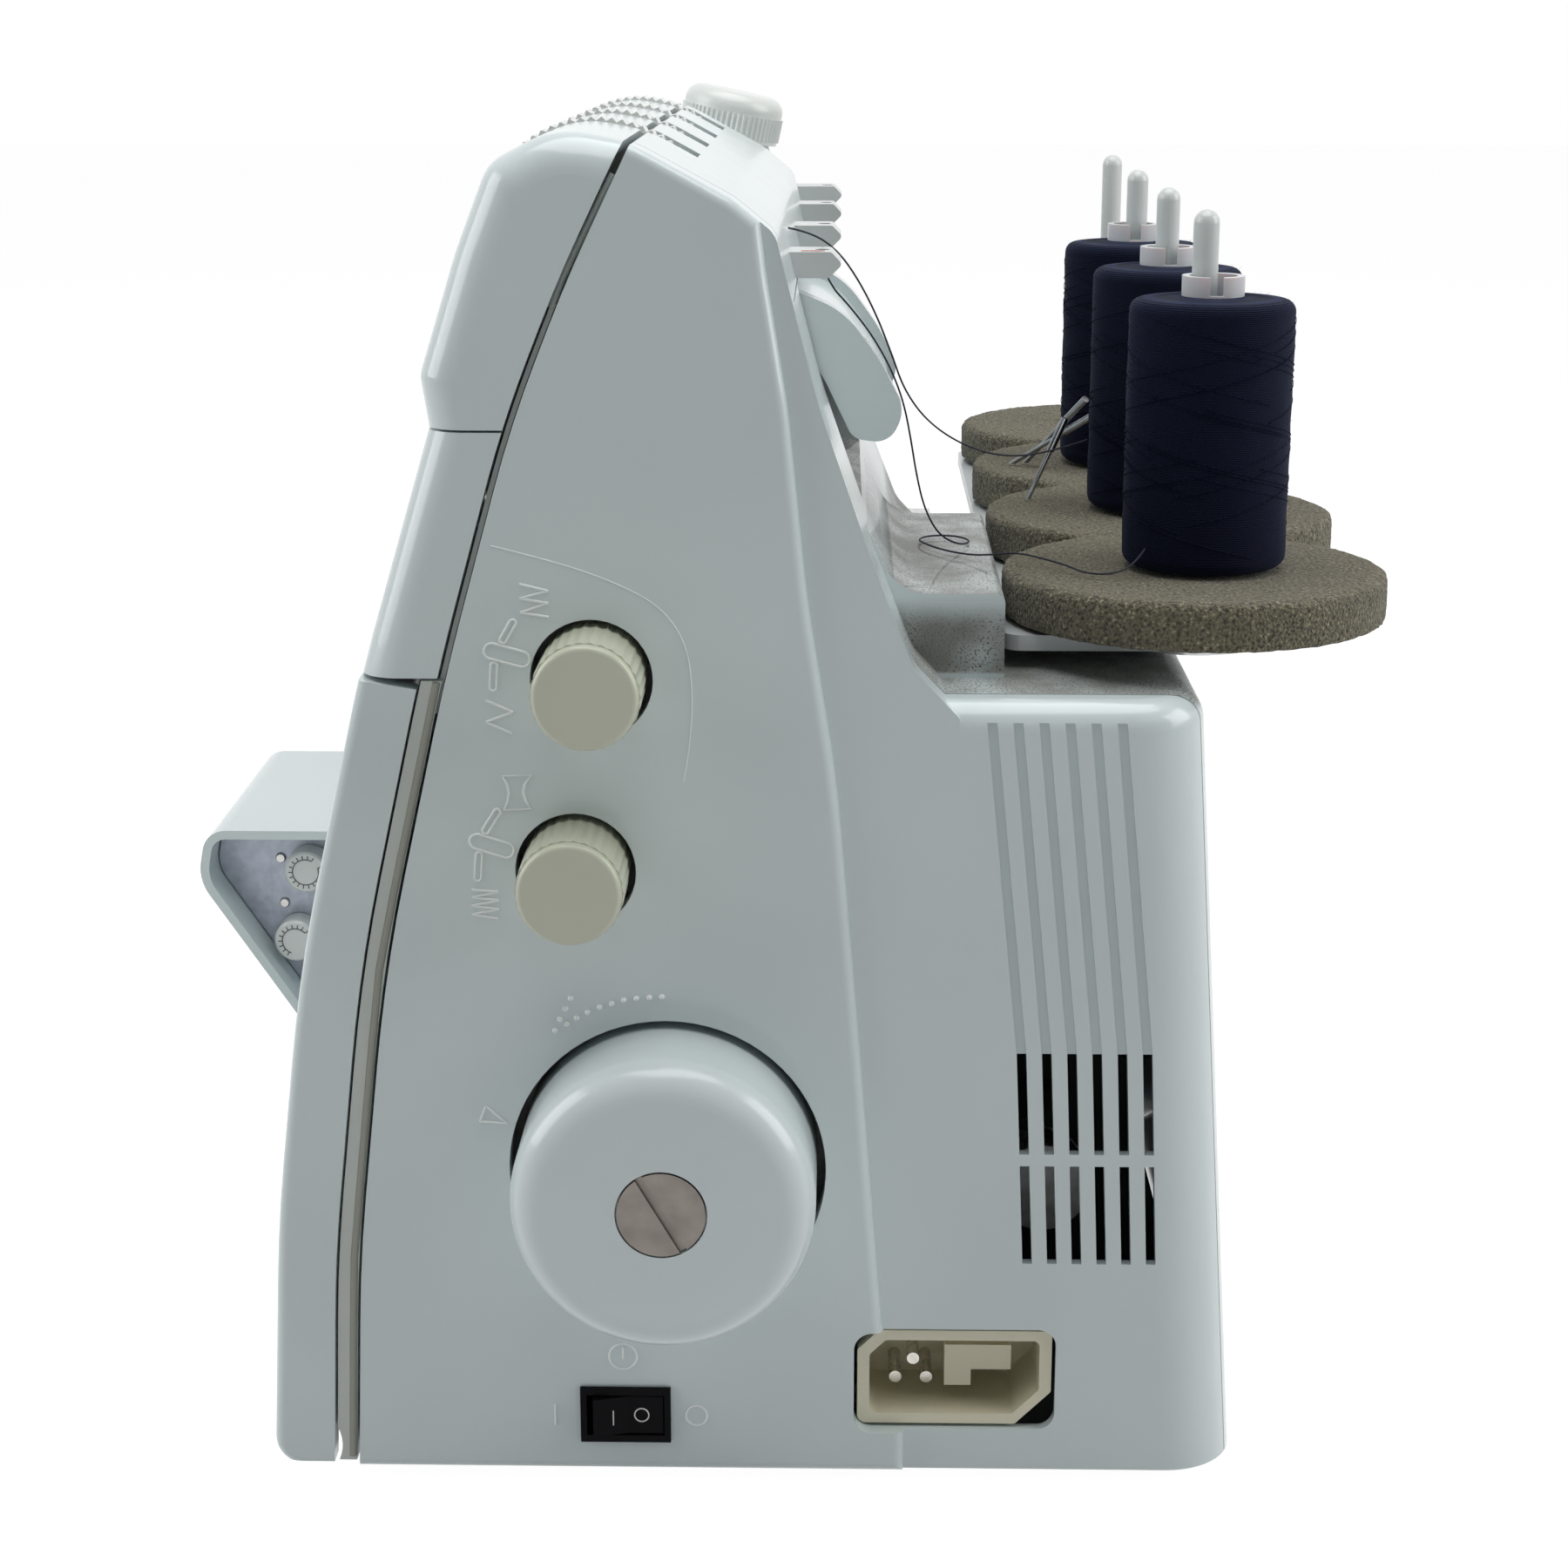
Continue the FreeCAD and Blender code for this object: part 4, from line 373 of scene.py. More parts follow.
dust_and_shade = worked_out(tree, "MULTIPLY", worked_out(tree, "MAXIMUM", shelf, corner), lint_and_shade)
dulled = worked_out(tree, "ADD", SHELF_ROUGH, worked_out(tree, "MULTIPLY", dust_and_shade, DUST_DULLING))
tree.links.new(dulled, shader.inputs["Roughness"])
# Inputs 6 and 7 of the mix node are its two colours, and output 2 is the mixed colour.
dust_and_shade_mix = tree.nodes.new("ShaderNodeMix")
dust_and_shade_mix.data_type = "RGBA"
tree.links.new(dust_and_shade, dust_and_shade_mix.inputs["Factor"])
tree.links.new(shader.inputs["Base Color"].links[0].from_socket, dust_and_shade_mix.inputs[6])
dust_and_shade_mix.inputs[7].default_value = (*SHELF_DUST_AND_SHADE, 1)
tree.links.new(dust_and_shade_mix.outputs[2], shader.inputs["Base Color"])
dress(rear_finish, "rear_cover")

# Front frame
# The moulded panel behind the looper cover, in a duller plastic than the covers. Only a narrow strip of
# it shows along the seam of the right cover, with a yellowed band beside the seam and a lip at its top.
FRAME_GREY = (0.58, 0.615, 0.585)
BAND_OLIVE = (0.27, 0.28, 0.235)
frame_finish = moulded_plastic("dull frame plastic", FRAME_GREY, rough=0.45)
band_finish = moulded_plastic("yellowed frame band", BAND_OLIVE, rough=0.55)
dress(frame_finish, "front_frame")
# Each line has its X, the radius of its bead, its finish and (y, z) points in millimetres.
SEAM_LINES = {
    "seam_lip": (0.1545, 0.00072, frame_finish, [
        (-27.9, 263.0), (-25.7, 268.5), (-23.0, 274.0), (-20.2, 279.5), (-17.4, 285.0), (-15.1, 289.5)]),
    "seam_band": (0.1566, 0.00095, band_finish, [
        (-78.1, 6.0), (-76.9, 35.0), (-75.9, 54.8), (-73.6, 75.0), (-70.0, 105.0), (-67.8, 122.0),
        (-63.9, 140.0), (-58.1, 165.0), (-53.4, 185.6)]),
}
for line_name, (line_x, bead, finish, points) in SEAM_LINES.items():
    laid = [(line_x, *metres(y, z)) for y, z in points]
    seam_piece = tube(line_name, [(laid, False)], finish, radius=bead, roundness=4)
    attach(seam_piece, "machine")

# Inner works
# Cast alloy frame, steel shafts in bronze bushes, and the motor with its pulley and rubber belt.
# They are fixed to the frame inside the covers, where little of them shows.


def worked_metal(name, colour, rough, along=(1.0, 1.0, 1.0), scale=300.0):
    """Metal whose fine scratches are drawn out along an axis."""
    material, tree, shader, place = new_finish(name)
    stretch = tree.nodes.new("ShaderNodeMapping")
    stretch.inputs["Scale"].default_value = along
    tree.links.new(place, stretch.inputs["Vector"])
    scratch = cloudy(tree, stretch.outputs["Vector"], scale, detail=4.0)
    dull, pale = shades(colour, low=0.80, high=1.12)
    paint(tree, shader, scratch, (0.3, dull), (0.7, pale))
    worn = between(tree, scratch, low=rough - 0.08, high=rough + 0.12)
    tree.links.new(worn, shader.inputs["Roughness"])
    relief(tree, shader, scratch, strength=0.08, depth=0.0001)
    shader.inputs["Metallic"].default_value = 1.0
    return material


ALLOY_GREY = (0.55, 0.56, 0.57)
ROD_STEEL = (0.56, 0.55, 0.53)
BUSH_BRONZE = (0.50, 0.33, 0.16)
MOTOR_ENAMEL = (0.045, 0.048, 0.052)
BELT_BLACK = (0.018, 0.018, 0.018)
dress(worked_metal("cast alloy", ALLOY_GREY, rough=0.55), "main_frame", "motor_pulley")
steel_rods = worked_metal("ground steel rods", ROD_STEEL, rough=0.28, along=(0.05, 1.0, 1.0))
dress(steel_rods, "fixed_shafts", "main_shaft")
dress(worked_metal("sintered bronze", BUSH_BRONZE, rough=0.5), "shaft_bushes")
dress(moulded_plastic("dark motor enamel", MOTOR_ENAMEL, rough=0.5), "motor")
dress(moulded_plastic("black belt rubber", BELT_BLACK, rough=0.8), "drive_belt")

# Base
# A folded steel pan, painted grey, closes the housing from below. It is held by pan head screws,
# and stands on black rubber feet.
PAN_GREY = (0.30, 0.32, 0.33)
FOOT_BLACK = (0.022, 0.022, 0.023)
SCREW_ZINC = (0.58, 0.58, 0.56)
dress(moulded_plastic("grey pan paint", PAN_GREY, rough=0.5), "base_pan")
dress(moulded_plastic("foot rubber", FOOT_BLACK, rough=0.8, grain=900.0), "rubber_feet")
screw_steel = worked_metal("zinc plated screws", SCREW_ZINC, rough=0.35)
dress(screw_steel, "base_screws")

# Panel marks
# Raised lines moulded into the right cover: stitch shapes and a pointer on each knob's scale, the edge of
# the knobs' field, a dotted arrow and a pointer for the wheel, and on and off signs beside the switch.
PANEL_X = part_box("right_cover")[1].x
MARK_BEAD = 0.00030
FIELD_BEAD = 0.00014
# The raised lines are the cover's own plastic, coloured lighter than the cover as a painted highlight along
# them.
MARK_HIGHLIGHT_WHITE = (0.80, 0.84, 0.83)
mark_finish = moulded_plastic("raised mark plastic lightened as painted highlight", MARK_HIGHLIGHT_WHITE, rough=0.16)


def on_panel(y, z):
    """A spot on the panel's face, from millimetres."""
    return PANEL_X, *metres(y, z)


def raised_lines(name, lines, bead=MARK_BEAD):
    """Beads along lines of (y, z) points in millimetres on the panel; each line is (points, closed)."""
    laid = [([on_panel(y, z) for y, z in points], closed) for points, closed in lines]
    piece = tube(name, laid, mark_finish, radius=bead, roundness=1)
    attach(piece, "machine")


def capsule(start, end, half_width, steps=10):
    """The outline of a rounded bar between two points."""
    a, b = Vector(start), Vector(end)
    turn = math.atan2(b.y - a.y, b.x - a.x)
    points = []
    for centre, first in ((b, turn - math.pi / 2), (a, turn + math.pi / 2)):
        for i in range(steps + 1):
            angle = first + math.pi * i / steps
            points.append((centre.x + half_width * math.cos(angle), centre.y + half_width * math.sin(angle)))
    return points, True


def zigzag(*corners):
    """The straight legs of a zigzag, one line for each."""
    return [([start, end], False) for start, end in zip(corners, corners[1:])]


def on_circle(centre, radius, angle):
    """A point on a circle, from an angle in radians."""
    return centre[0] + radius * math.cos(angle), centre[1] + radius * math.sin(angle)


def ring(centre, radius, steps=28):
    """A whole circle."""
    return [on_circle(centre, radius, 2 * math.pi * i / steps) for i in range(steps)], True


def eased(corners, steps=8):
    """A smooth line that starts and ends at the outer corners and passes inside the others."""
    spots = [Vector(corner) for corner in corners]
    stops = [spots[0]] + [(a + b) / 2 for a, b in zip(spots[1:-2], spots[2:-1])] + [spots[-1]]
    points = [spots[0]]
    for start, bend, end in zip(stops, spots[1:-1], stops[1:]):
        for i in range(1, steps + 1):
            t = i / steps
            points.append(start * (1 - t) ** 2 + bend * 2 * t * (1 - t) + end * t ** 2)
    return points, False


raised_lines("stitch_length_marks", [
    *zigzag((-35.4, 206.8), (-29.5, 205.4), (-35.4, 203.8), (-29.6, 202.8), (-35.3, 200.8), (-29.5, 199.9)),
    capsule((-37.0, 198.6), (-39.1, 195.0), half_width=0.7),
    capsule((-41.5, 192.6), (-35.2, 190.9), half_width=1.65),
    capsule((-41.1, 189.5), (-41.4, 184.9), half_width=0.7),
    *zigzag((-43.0, 182.1), (-37.4, 179.6), (-43.1, 177.4), (-37.7, 175.0)),
])
raised_lines("differential_marks", [
    ([(-39.9, 165.7), (-34.1, 165.9), (-35.3, 164.0), (-35.7, 162.1), (-35.2, 160.2), (-34.1, 158.5),
      (-39.9, 158.3), (-39.0, 160.2), (-38.7, 162.1), (-39.1, 164.0)], True),
    capsule((-41.3, 157.8), (-43.9, 153.7), half_width=0.7),
    capsule((-45.7, 151.3), (-39.6, 149.4), half_width=1.65),
    capsule((-45.4, 148.3), (-45.8, 143.3), half_width=0.7),
    *zigzag((-47.2, 140.6), (-41.4, 140.2), (-47.2, 138.9), (-41.4, 138.3), (-47.3, 137.0), (-41.4, 136.3),
            (-47.3, 135.1), (-41.6, 134.2)),
])
raised_lines("switch_marks", [
    ([(-32.0, 20.0), (-32.0, 14.8)], False),
    ring((-0.4, 17.4), radius=2.4),
    ring((-16.6, 31.8), radius=3.1),
    ([(-16.6, 34.0), (-16.6, 31.2)], False),
])
raised_lines("wheel_mark", zigzag((-45.6, 91.3), (-41.0, 87.3), (-46.9, 87.7), (-45.6, 91.3)))
raised_lines("knob_field_line", [eased([
    (-41.1, 214.8), (-28.0, 211.6), (-15.0, 207.0), (-6.0, 202.0), (-1.0, 194.5), (0.3, 184.0), (-0.6, 170.9),
    (-1.9, 164.6),
])], bead=FIELD_BEAD)

DOT_R = 0.00068
ARROW_HEAD = [(-26.6, 116.3), (-27.8, 113.9), (-29.0, 111.5), (-30.1, 108.9)]
ARROW_TAIL = [(-27.6, 110.4), (-25.4, 111.8), (-23.0, 113.1), (-20.4, 114.3), (-17.8, 115.1), (-15.2, 115.9),
              (-12.5, 116.3), (-9.7, 116.5), (-7.0, 116.7)]


def piece_from(name, shape, body, *materials, smooth=True):
    """A mesh piece that rides on a body."""
    mesh = bpy.data.meshes.new(name)
    shape.to_mesh(mesh)
    shape.free()
    for material in materials:
        mesh.materials.append(material)
    if smooth:
        mesh.shade_smooth()
    piece = bpy.data.objects.new(name, mesh)
    scene.collection.objects.link(piece)
    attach(piece, body)
    return piece


dots = bmesh.new()
for y, z in ARROW_HEAD + ARROW_TAIL:
    bmesh.ops.create_icosphere(dots, subdivisions=2, radius=DOT_R, matrix=Matrix.Translation(on_panel(y, z)))
piece_from("turning_arrow_dots", dots, "machine", mark_finish)

# Panel knobs and handwheel
# Ivory knobs that set the stitch length and the differential feed, and the white handwheel on the main
# shaft. All three are moulded in plastic, and a slotted steel screw holds the wheel.
KNOB_IVORY = (0.53, 0.55, 0.435)
WHEEL_WHITE = (0.63, 0.70, 0.71)
WHEEL_SCREW_STEEL = (0.20, 0.18, 0.165)
knob_finish = moulded_plastic("ivory knob plastic", KNOB_IVORY, rough=0.34)
dress(knob_finish, "stitch_length_knob", "differential_knob")
dress(moulded_plastic("handwheel plastic", WHEEL_WHITE, rough=0.24), "handwheel")
dress(worked_metal("tarnished screw steel", WHEEL_SCREW_STEEL, rough=0.45, scale=160.0), "handwheel_screw")

# Power switch
# A black plastic rocker switch, snapped into the right cover, with white on and off signs printed on the
# rocker's two faces.
SWITCH_BLACK = (0.004, 0.004, 0.005)
SIGN_WHITE = (0.75, 0.75, 0.72)
SIGN_BEAD = 0.00016
OUTSIDE_X = 1.0
black_finish = moulded_plastic("black switch plastic", SWITCH_BLACK, rough=0.45)
set_levels(black_finish.node_tree.nodes["Principled BSDF"], {"Specular IOR Level": 0.05, "Coat Weight": 0.0})
dress(black_finish, "switch_housing", "power_rocker")
print_white = moulded_plastic("white print", SIGN_WHITE, rough=0.5)


def met_on(node, start_x, y, z):
    """Where a line that runs to the left from start_x meets a CAD node; y and z are in millimetres."""
    return nodes[node].ray_cast((start_x, *metres(y, z)), (-1.0, 0.0, 0.0))[1]


def printed_lines(name, node, body, lines, ink, bead):
    """Printed lines of (y, z) points in millimetres on the right-hand face of a CAD node."""
    laid = [([met_on(node, OUTSIDE_X, y, z) for y, z in points], closed) for points, closed in lines]
    piece = tube(name, laid, ink, radius=bead, roundness=1)
    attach(piece, body)


printed_lines("rocker_signs", "power_rocker", "power_rocker",
              [([(-18.9, 19.2), (-18.9, 15.6)], False), ring((-12.6, 17.7), radius=1.6, steps=20)],
              print_white, SIGN_BEAD)

# Power inlet
# A cream appliance inlet, moulded in hard plastic around plated contact pins. It is sunk into the lower
# rear corner of the right cover.
INLET_CREAM = (0.72, 0.68, 0.52)
PIN_PLATING = (0.62, 0.60, 0.55)
dress(moulded_plastic("cream inlet plastic", INLET_CREAM, rough=0.42), "power_inlet")
dress(worked_metal("plated pins", PIN_PLATING, rough=0.25), "inlet_pins")

# Tension dials and pressure knob
# Four white plastic thumb wheels with toothed rims stand out of the top cover. The ribbed knob over the
# presser bar is of the same plastic and sets the foot's pressure.
DIAL_WHITE = (0.66, 0.69, 0.67)
dial_finish = moulded_plastic("white dial plastic", DIAL_WHITE, rough=0.32)
dress(dial_finish, "tension_dial_1", "tension_dial_2", "tension_dial_3", "tension_dial_4", "pressure_knob")

# Needle head and stitch forming parts
# Ground steel bars in the head carry the needles and the presser foot. The plate, feed dogs, loopers
# and knife are polished or hardened steel.
BAR_STEEL = (0.60, 0.60, 0.59)
PLATE_STEEL = (0.66, 0.66, 0.65)
bar_finish = worked_metal("ground steel bars", BAR_STEEL, rough=0.25, along=(1.0, 1.0, 0.05))
dress(bar_finish, "presser_bar", "needle_bar", "upper_looper", "lower_looper", "upper_knife", "foot_lifter")
plate_finish = worked_metal("polished plate steel", PLATE_STEEL, rough=0.2, along=(1.0, 0.05, 1.0))
dress(plate_finish, "presser_foot", "needles", "needle_plate", "feed_dogs")

# Nose dials
# A grey-blue metal bracket, screwed inside the nose, carries two small white dials for the cutting width
# and its fine adjustment. Their scales are printed.
BRACKET_GREY = (0.36, 0.39, 0.45)
SCALE_GREY = (0.06, 0.062, 0.07)
SCALE_BEAD = 0.00017
SCALE_R = 3.9
TICK_REACH = (4.1, 5.1)
TICK_STEP = 20
# Each dial has the (y, z) of its centre in millimetres, and the first and last degree of its scale.
NOSE_DIALS = {
    "cutting_width_dial": ((-127.0, 74.0), (60, 380)),
    "fine_control_dial": ((-131.0, 52.5), (40, 250)),
}
dress(worked_metal("grey bracket metal", BRACKET_GREY, rough=0.5), "dial_bracket")
dress(dial_finish, *NOSE_DIALS)
print_grey = moulded_plastic("dark grey print", SCALE_GREY, rough=0.5)


def arc(centre, radius, first, last, steps=24):
    """Part of a circle, in degrees."""
    angles = [math.radians(first + (last - first) * i / steps) for i in range(steps + 1)]
    return [on_circle(centre, radius, angle) for angle in angles], False


def spokes(centre, reach, degrees):
    """Short lines that point away from a centre, between an inner and an outer radius."""
    angles = [math.radians(degree) for degree in degrees]
    return [([on_circle(centre, radius, angle) for radius in reach], False) for angle in angles]


for dial, (centre, (first, last)) in NOSE_DIALS.items():
    ticks = spokes(centre, TICK_REACH, range(first, last + 1, TICK_STEP))
    printed_lines(dial + "_scale", dial, dial, [arc(centre, SCALE_R, first, last)] + ticks,
                  print_grey, SCALE_BEAD)

BRACKET_SCREWS = [(-135.8, 76.0), (-135.2, 62.0)]
BRACKET_SIGHT_X = -0.064
SCREW_HEAD_R = 0.0017
SCREW_TOP_SHARE = 0.7
SCREW_HEAD_TALL = 0.0012
SCREW_LIFT = Vector((0.0004, 0, 0))
screws = bmesh.new()
for y, z in BRACKET_SCREWS:
    middle = met_on("dial_bracket", BRACKET_SIGHT_X, y, z) + SCREW_LIFT
    bmesh.ops.create_cone(screws, cap_ends=True, segments=24, radius1=SCREW_HEAD_R,
                          radius2=SCREW_HEAD_R * SCREW_TOP_SHARE, depth=SCREW_HEAD_TALL,
                          matrix=Matrix.Translation(middle) @ Matrix.Rotation(math.pi / 2, 4, "Y"))
piece_from("bracket_screws", screws, "machine", screw_steel, smooth=False)

# Thread guides
# Light grey plastic guide levers on the back of the top cover, one in line with each spool pin.
# A red bar printed on one of them tells its thread's path.
GUIDE_GREY = (0.55, 0.58, 0.57)
GUIDE_RED = (0.55, 0.05, 0.04)
GUIDE_MARK_PLACE = (0.1045, 0.0245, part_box("thread_guides")[1].z)
GUIDE_MARK_SIZE = (0.0009, 0.0052, 0.0002)
dress(moulded_plastic("light grey guide plastic", GUIDE_GREY, rough=0.35), "thread_guides")
mark = bmesh.new()
mark_matrix = Matrix.Translation(GUIDE_MARK_PLACE) @ Matrix.Diagonal((*GUIDE_MARK_SIZE, 1))
bmesh.ops.create_cube(mark, size=1.0, matrix=mark_matrix)
red_print = moulded_plastic("red print", GUIDE_RED, rough=0.45)
piece_from("guide_colour_mark", mark, "machine", red_print, smooth=False)

# Thread stand
# A white moulded tray with a dish under each spool, held on posts over the rear cover, and white plastic
# pins. Polished spare needles are stuck into the foam mat.
TRAY_WHITE = (0.68, 0.71, 0.72)
SPOOL_PIN_WHITE = (0.62, 0.65, 0.64)
NEEDLE_STEEL = (0.42, 0.43, 0.45)
dress(moulded_plastic("white tray plastic", TRAY_WHITE, rough=0.3), "thread_stand_tray")
dress(moulded_plastic("white pin plastic", SPOOL_PIN_WHITE, rough=0.28), "spool_pins")
dress(worked_metal("polished needles", NEEDLE_STEEL, rough=0.12), "spare_needles")

# Foam mat
# One die-cut sheet of open-cell foam with four round lobes, threaded over the pins. Its cut edge is
# porous, and its rim is slightly rounded.
FOAM_TAUPE = (0.110, 0.098, 0.064)
FOAM_PAINTED_GLINT = 3.4
FOAM_VOXEL = 0.0013
FOAM_RIM = 0.0006
FOAM_DIMPLE = 0.00028
DIMPLE_SCALE = 900
LOBE_COUNT = 4
LOBE_SIDES = 96
mat_low, mat_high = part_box("foam_mat")
lobe_r = (mat_high.y - mat_low.y) / 2
lobe_pitch = (mat_high.x - mat_low.x - 2 * lobe_r) / (LOBE_COUNT - 1)
mat_thick = mat_high.z - mat_low.z
mat_y = (mat_low.y + mat_high.y) / 2
mat_z = mat_low.z + mat_thick / 2
foam = bmesh.new()
for i in range(LOBE_COUNT):
    middle = Vector((mat_low.x + lobe_r + i * lobe_pitch, mat_y, mat_z))
    bmesh.ops.create_cone(foam, cap_ends=True, segments=LOBE_SIDES, radius1=lobe_r - FOAM_RIM,
                          radius2=lobe_r - FOAM_RIM, depth=mat_thick - 2 * FOAM_RIM,
                          matrix=Matrix.Translation(middle))
foam_finish, tree, shader, place = new_finish("open-cell foam")
cells = tree.nodes.new("ShaderNodeTexVoronoi")
cells.inputs["Scale"].default_value = 1500.0
tree.links.new(place, cells.inputs["Vector"])
# The colour runs from painted shade in the pits, through the foam's own tone, to bright specks that are
# painted glints.
pit_shade, wall = shades(FOAM_TAUPE, low=0.30, high=1.35)
painted_glint = tuple(part * FOAM_PAINTED_GLINT for part in FOAM_TAUPE)
crumb = cloudy(tree, place, scale=1250.0, detail=4.0)
paint(tree, shader, crumb, (0.36, pit_shade), (0.52, wall), (0.60, wall), (0.70, painted_glint))
relief(tree, shader, cells.outputs["Distance"], strength=0.7, depth=0.0006)
set_levels(shader, {"Roughness": 0.9, "Sheen Weight": 0.15})
foam_piece = piece_from("foam_pad", foam, "machine", foam_finish)
joined = foam_piece.modifiers.new("remesh", "REMESH")
joined.mode = "VOXEL"
joined.voxel_size = FOAM_VOXEL
softened = foam_piece.modifiers.new("smooth", "SMOOTH")
softened.iterations = 3
softened.factor = 0.5
shaped = bpy.data.meshes.new_from_object(foam_piece.evaluated_get(bpy.context.evaluated_depsgraph_get()))
foam_piece.modifiers.clear()
foam_piece.data = shaped
outward = [vertex.normal.copy() for vertex in shaped.vertices]
for vertex, normal in zip(shaped.vertices, outward):
    vertex.co += normal * FOAM_DIMPLE * noise.noise(vertex.co * DIMPLE_SCALE)
shaped.shade_smooth()
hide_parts("foam_mat")

# Spools
# Cross-wound spools of navy spun polyester on translucent white tubes. The yarn lies in fine turns
# that cross at a low angle, with a fuzz of loose fibres.
CORE_WHITE = (0.62, 0.65, 0.68)
core_finish = moulded_plastic("translucent core plastic", CORE_WHITE, rough=0.35)
set_levels(core_finish.node_tree.nodes["Principled BSDF"],
           {"Subsurface Weight": 0.3, "Subsurface Scale": 0.004})

YARN_TURN = 0.00042
# Length of one wave of the wave texture at a scale of one.
WAVE_LENGTH = 0.314
YARN_SHEEN = (0.45, 0.55, 0.95, 1)
yarn_finish, tree, shader, place = new_finish("wound navy yarn")
turns = tree.nodes.new("ShaderNodeTexWave")
turns.bands_direction = "Z"
set_levels(turns, {"Scale": WAVE_LENGTH / YARN_TURN, "Distortion": 1.2, "Detail": 3.0, "Detail Scale": 0.4})
tree.links.new(place, turns.inputs["Vector"])
dark, light = shades(NAVY, low=0.35, high=1.9)
paint(tree, shader, turns.outputs["Fac"], (0.2, dark), (0.9, light))
relief(tree, shader, turns.outputs["Fac"], strength=0.5, depth=0.0003)
set_levels(shader, {"Roughness": 0.7, "Sheen Weight": 0.06, "Sheen Tint": YARN_SHEEN,
                    "Specular IOR Level": 0.05})
fibre_finish, tree, shader, place = new_finish("loose navy fibres")
dark, light = shades(NAVY, low=0.9, high=1.6)
paint(tree, shader, cloudy(tree, place, scale=500.0), (0.35, dark), (0.65, light))
set_levels(shader, {"Roughness": 0.8, "Specular IOR Level": 0.06})

SHOULDER_R = 0.0027
SHOULDER_STEPS = 6
WINDING_ROWS = 90
WINDING_SIDES = 96
FOOT_DISH = 0.0002
TOP_CROWN = 0.0006
SWELL_DEPTH = 0.00018
SWELL_SCALE = 160
SWELL_LEAST_R = 0.004


def winding_profile(radius, tall, bore):
    """(Radius, height) from the winding's lower bore, round both shoulders, to its upper bore."""
    bends = [math.pi / 2 * i / SHOULDER_STEPS for i in range(SHOULDER_STEPS + 1)]
    flat_r = radius - SHOULDER_R
    bend_z = tall - SHOULDER_R
    profile = [(bore, FOOT_DISH)]
    for bend in bends:
        profile.append((flat_r + SHOULDER_R * math.sin(bend), SHOULDER_R - SHOULDER_R * math.cos(bend)))
    for i in range(1, WINDING_ROWS):
        profile.append((radius, SHOULDER_R + (tall - 2 * SHOULDER_R) * i / WINDING_ROWS))
    for bend in bends:
        profile.append((flat_r + SHOULDER_R * math.cos(bend), bend_z + SHOULDER_R * math.sin(bend)))
    profile.append((bore, tall + TOP_CROWN))
    return profile


def turn_winding(shape, foot, profile, number):
    """Turns a profile about a spool's axis, slightly swollen here and there, each spool in its own way."""
    rings = []
    for r, z in profile:
        loop = []
        for k in range(WINDING_SIDES):
            angle = 2 * math.pi * k / WINDING_SIDES
            spot = Vector((math.cos(angle) * r, math.sin(angle) * r, z))
            swell = noise.noise((spot + Vector((0, 0, number))) * SWELL_SCALE) * SWELL_DEPTH
            share = 1 + swell / max(r, SWELL_LEAST_R)
            loop.append(shape.verts.new((foot.x + spot.x * share, foot.y + spot.y * share, foot.z + z)))
        rings.append(loop)
    for lower, upper in zip(rings, rings[1:] + rings[:1]):
        for k in range(WINDING_SIDES):
            n = (k + 1) % WINDING_SIDES
            shape.faces.new((lower[k], lower[n], upper[n], upper[k]))


STRAND_COUNT = 40
STRAND_R = 0.00013
STRAND_LIFT = 0.00005
STRAND_CLIMB = (0.006, 0.020)
STRAND_STEPS = 48
CLIMB_PER_TURN = 0.030


def lay_strand(shape, lay, foot, radius, tall):
    """One strand that crosses the winding at its low angle, as a three-sided bar."""
    climb = lay.choice((-1, 1)) * lay.uniform(*STRAND_CLIMB)
    start_z = lay.uniform(SHOULDER_R + max(0, -climb), tall - SHOULDER_R - max(0, climb))
    start_angle = lay.uniform(0, 2 * math.pi)
    sweep = 2 * math.pi * (abs(climb) / CLIMB_PER_TURN)
    lift = Vector((0, 0, STRAND_R))
    bars = []
    for k in range(STRAND_STEPS + 1):
        angle = start_angle + sweep * k / STRAND_STEPS
        out = Vector((math.cos(angle), math.sin(angle), 0))
        z = foot.z + start_z + climb * k / STRAND_STEPS
        middle = Vector((foot.x, foot.y, z)) + out * (radius + STRAND_LIFT)
        corners = (middle + lift, middle + out * STRAND_R, middle - lift)
        bars.append([shape.verts.new(corner) for corner in corners])
    faces = [shape.faces.new(bars[0]), shape.faces.new(bars[-1][::-1])]
    for left, right in zip(bars, bars[1:]):
        for a, b in ((0, 1), (1, 2), (2, 0)):
            faces.append(shape.faces.new((left[b], left[a], right[a], right[b])))
    for face in faces:
        face.material_index = 1


FIBRE_COUNT = 600
FIBRE_TOP_SHARE = 0.45
FIBRE_TOP_BAND = (0.0, 0.004)
FIBRE_TOP_SINK = (0.0005, SHOULDER_R)
FIBRE_TOP_RISE = (0.0002, 0.0012)
FIBRE_MARGIN = 0.002
FIBRE_SIDE_SINK = 0.0001
FIBRE_SIDE_RISE = (-0.0006, 0.0006)
FIBRE_OUT = (0.0001, 0.0007)
FIBRE_BEND = (-0.0012, 0.0012)
FIBRE_HALF_TALL = 0.00003
FIBRE_HALF_WIDE = 0.00002
FIBRE_ROOT = 0.00005


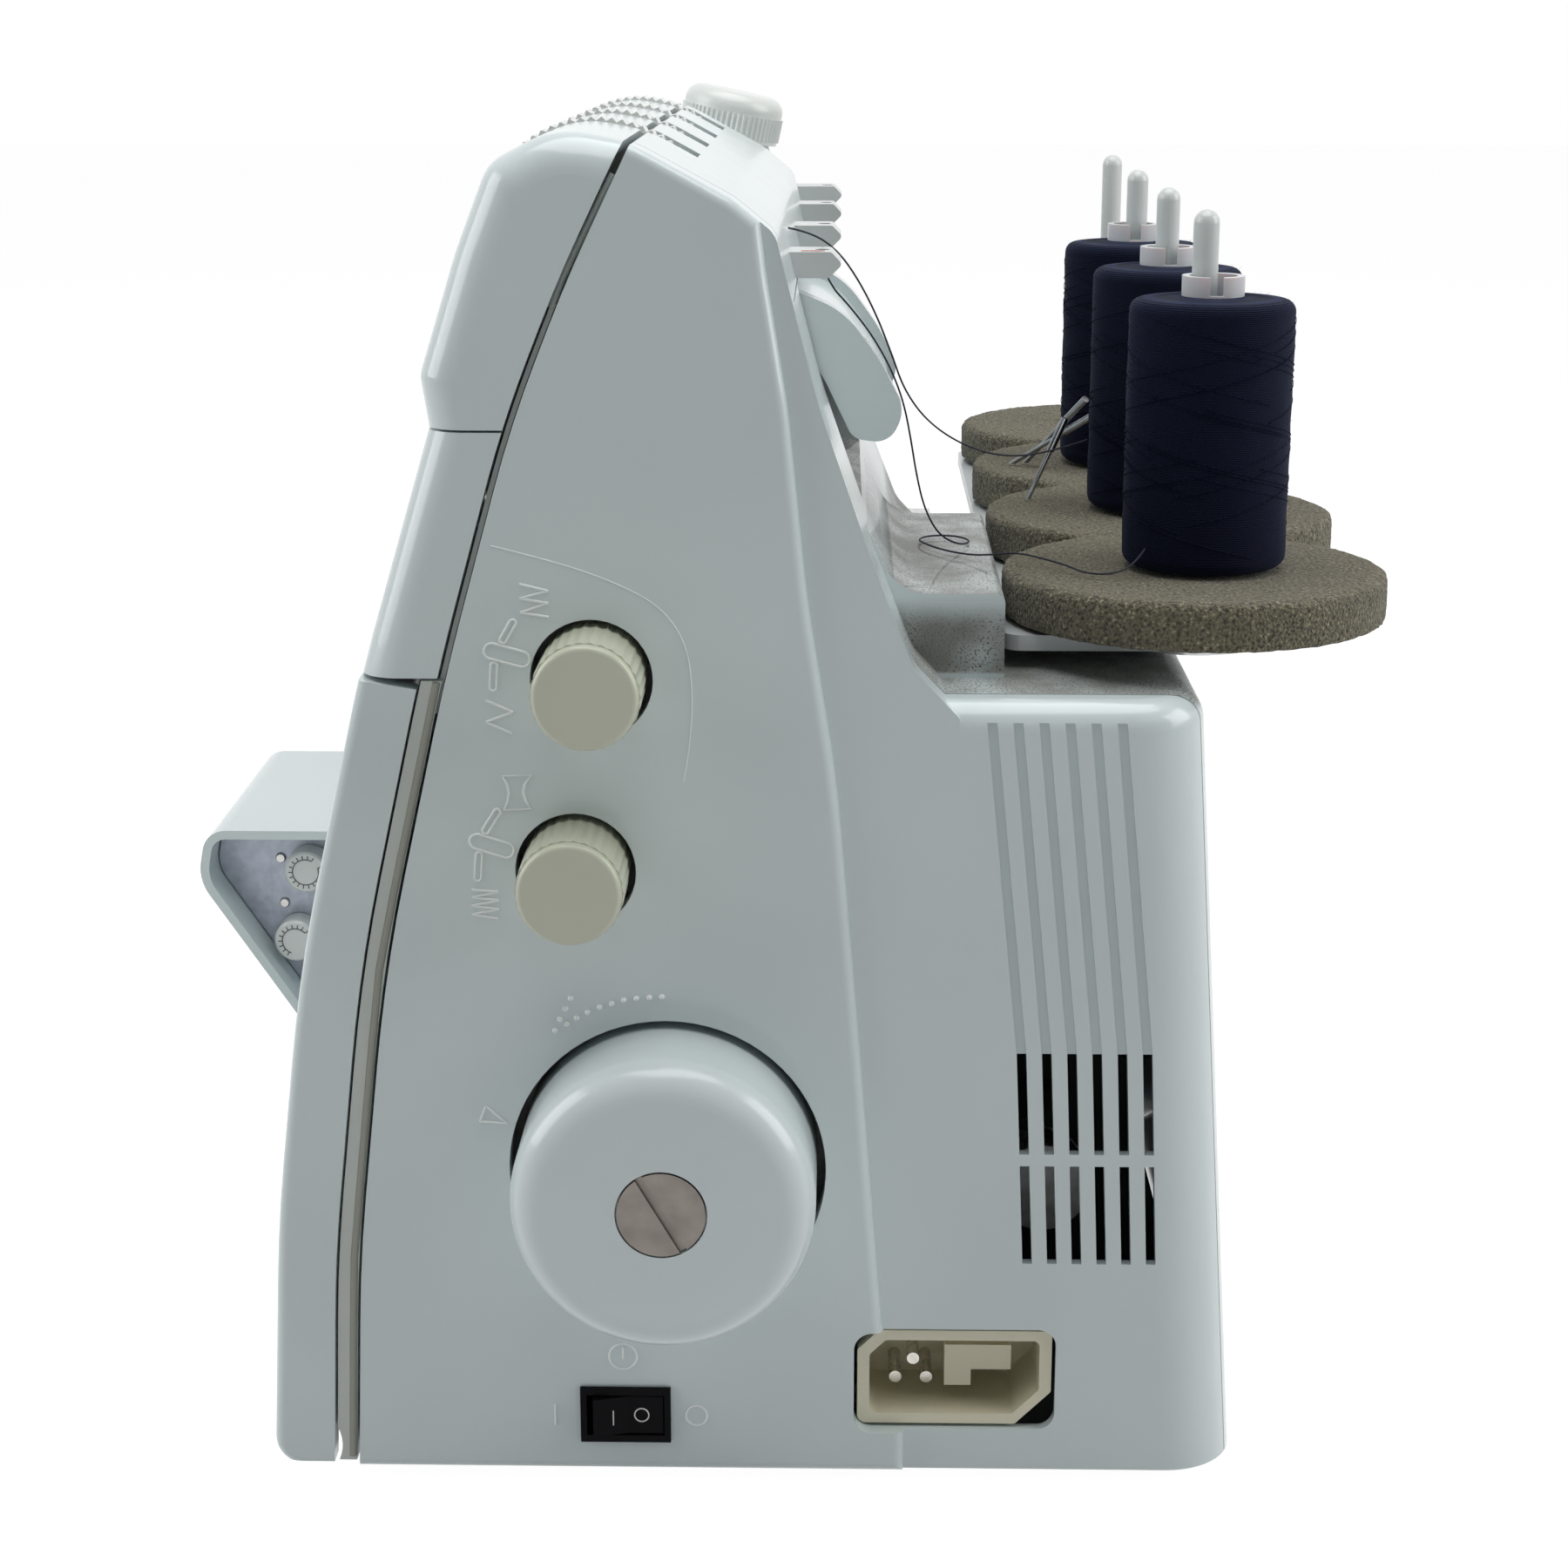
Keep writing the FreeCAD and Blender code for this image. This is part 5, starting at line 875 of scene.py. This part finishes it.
def raise_fibre(shape, lay, foot, radius, tall):
    """One loose fibre that stands off the winding, often near the upper shoulder."""
    angle = lay.uniform(0, 2 * math.pi)
    out = Vector((math.cos(angle), math.sin(angle), 0))
    side = Vector((-out.y, out.x, 0))
    if lay.random() < FIBRE_TOP_SHARE:
        z = tall - lay.uniform(*FIBRE_TOP_BAND)
        reach = radius - lay.uniform(*FIBRE_TOP_SINK)
        rise = FIBRE_TOP_RISE
    else:
        z = lay.uniform(FIBRE_MARGIN, tall - FIBRE_MARGIN)
        reach = radius - FIBRE_SIDE_SINK
        rise = FIBRE_SIDE_RISE
    root = Vector((foot.x, foot.y, foot.z + z)) + out * reach
    tip = root + out * lay.uniform(*FIBRE_OUT) + side * lay.uniform(*FIBRE_BEND)
    tip.z += lay.uniform(*rise)
    wide = Vector((0, 0, FIBRE_HALF_TALL)) + side * FIBRE_HALF_WIDE
    hair = [shape.verts.new(spot) for spot in (root - wide, root + wide, root - out * FIBRE_ROOT, tip)]
    for corners in ((0, 1, 2), (0, 3, 1), (1, 3, 2), (2, 3, 0)):
        shape.faces.new([hair[k] for k in corners]).material_index = 1


for number in (1, 2, 3):
    dress(core_finish, "spool_core_%d" % number)
    core_low, core_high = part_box("spool_core_%d" % number)
    winding_low, winding_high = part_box("spool_winding_%d" % number)
    centre = (winding_low + winding_high) / 2
    foot = Vector((centre.x, centre.y, winding_low.z))
    radius = (winding_high.x - winding_low.x) / 2
    tall = winding_high.z - winding_low.z
    wound = bmesh.new()
    turn_winding(wound, foot, winding_profile(radius, tall, (core_high.x - core_low.x) / 2), number)
    lay = random.Random(number)
    for _ in range(STRAND_COUNT):
        lay_strand(wound, lay, foot, radius, tall)
    for _ in range(FIBRE_COUNT):
        raise_fibre(wound, lay, foot, radius, tall)
    bmesh.ops.recalc_face_normals(wound, faces=wound.faces)
    yarn = piece_from("spool_yarn_%d" % number, wound, "spool_%d" % number, yarn_finish, fibre_finish)
    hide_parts("spool_winding_%d" % number)
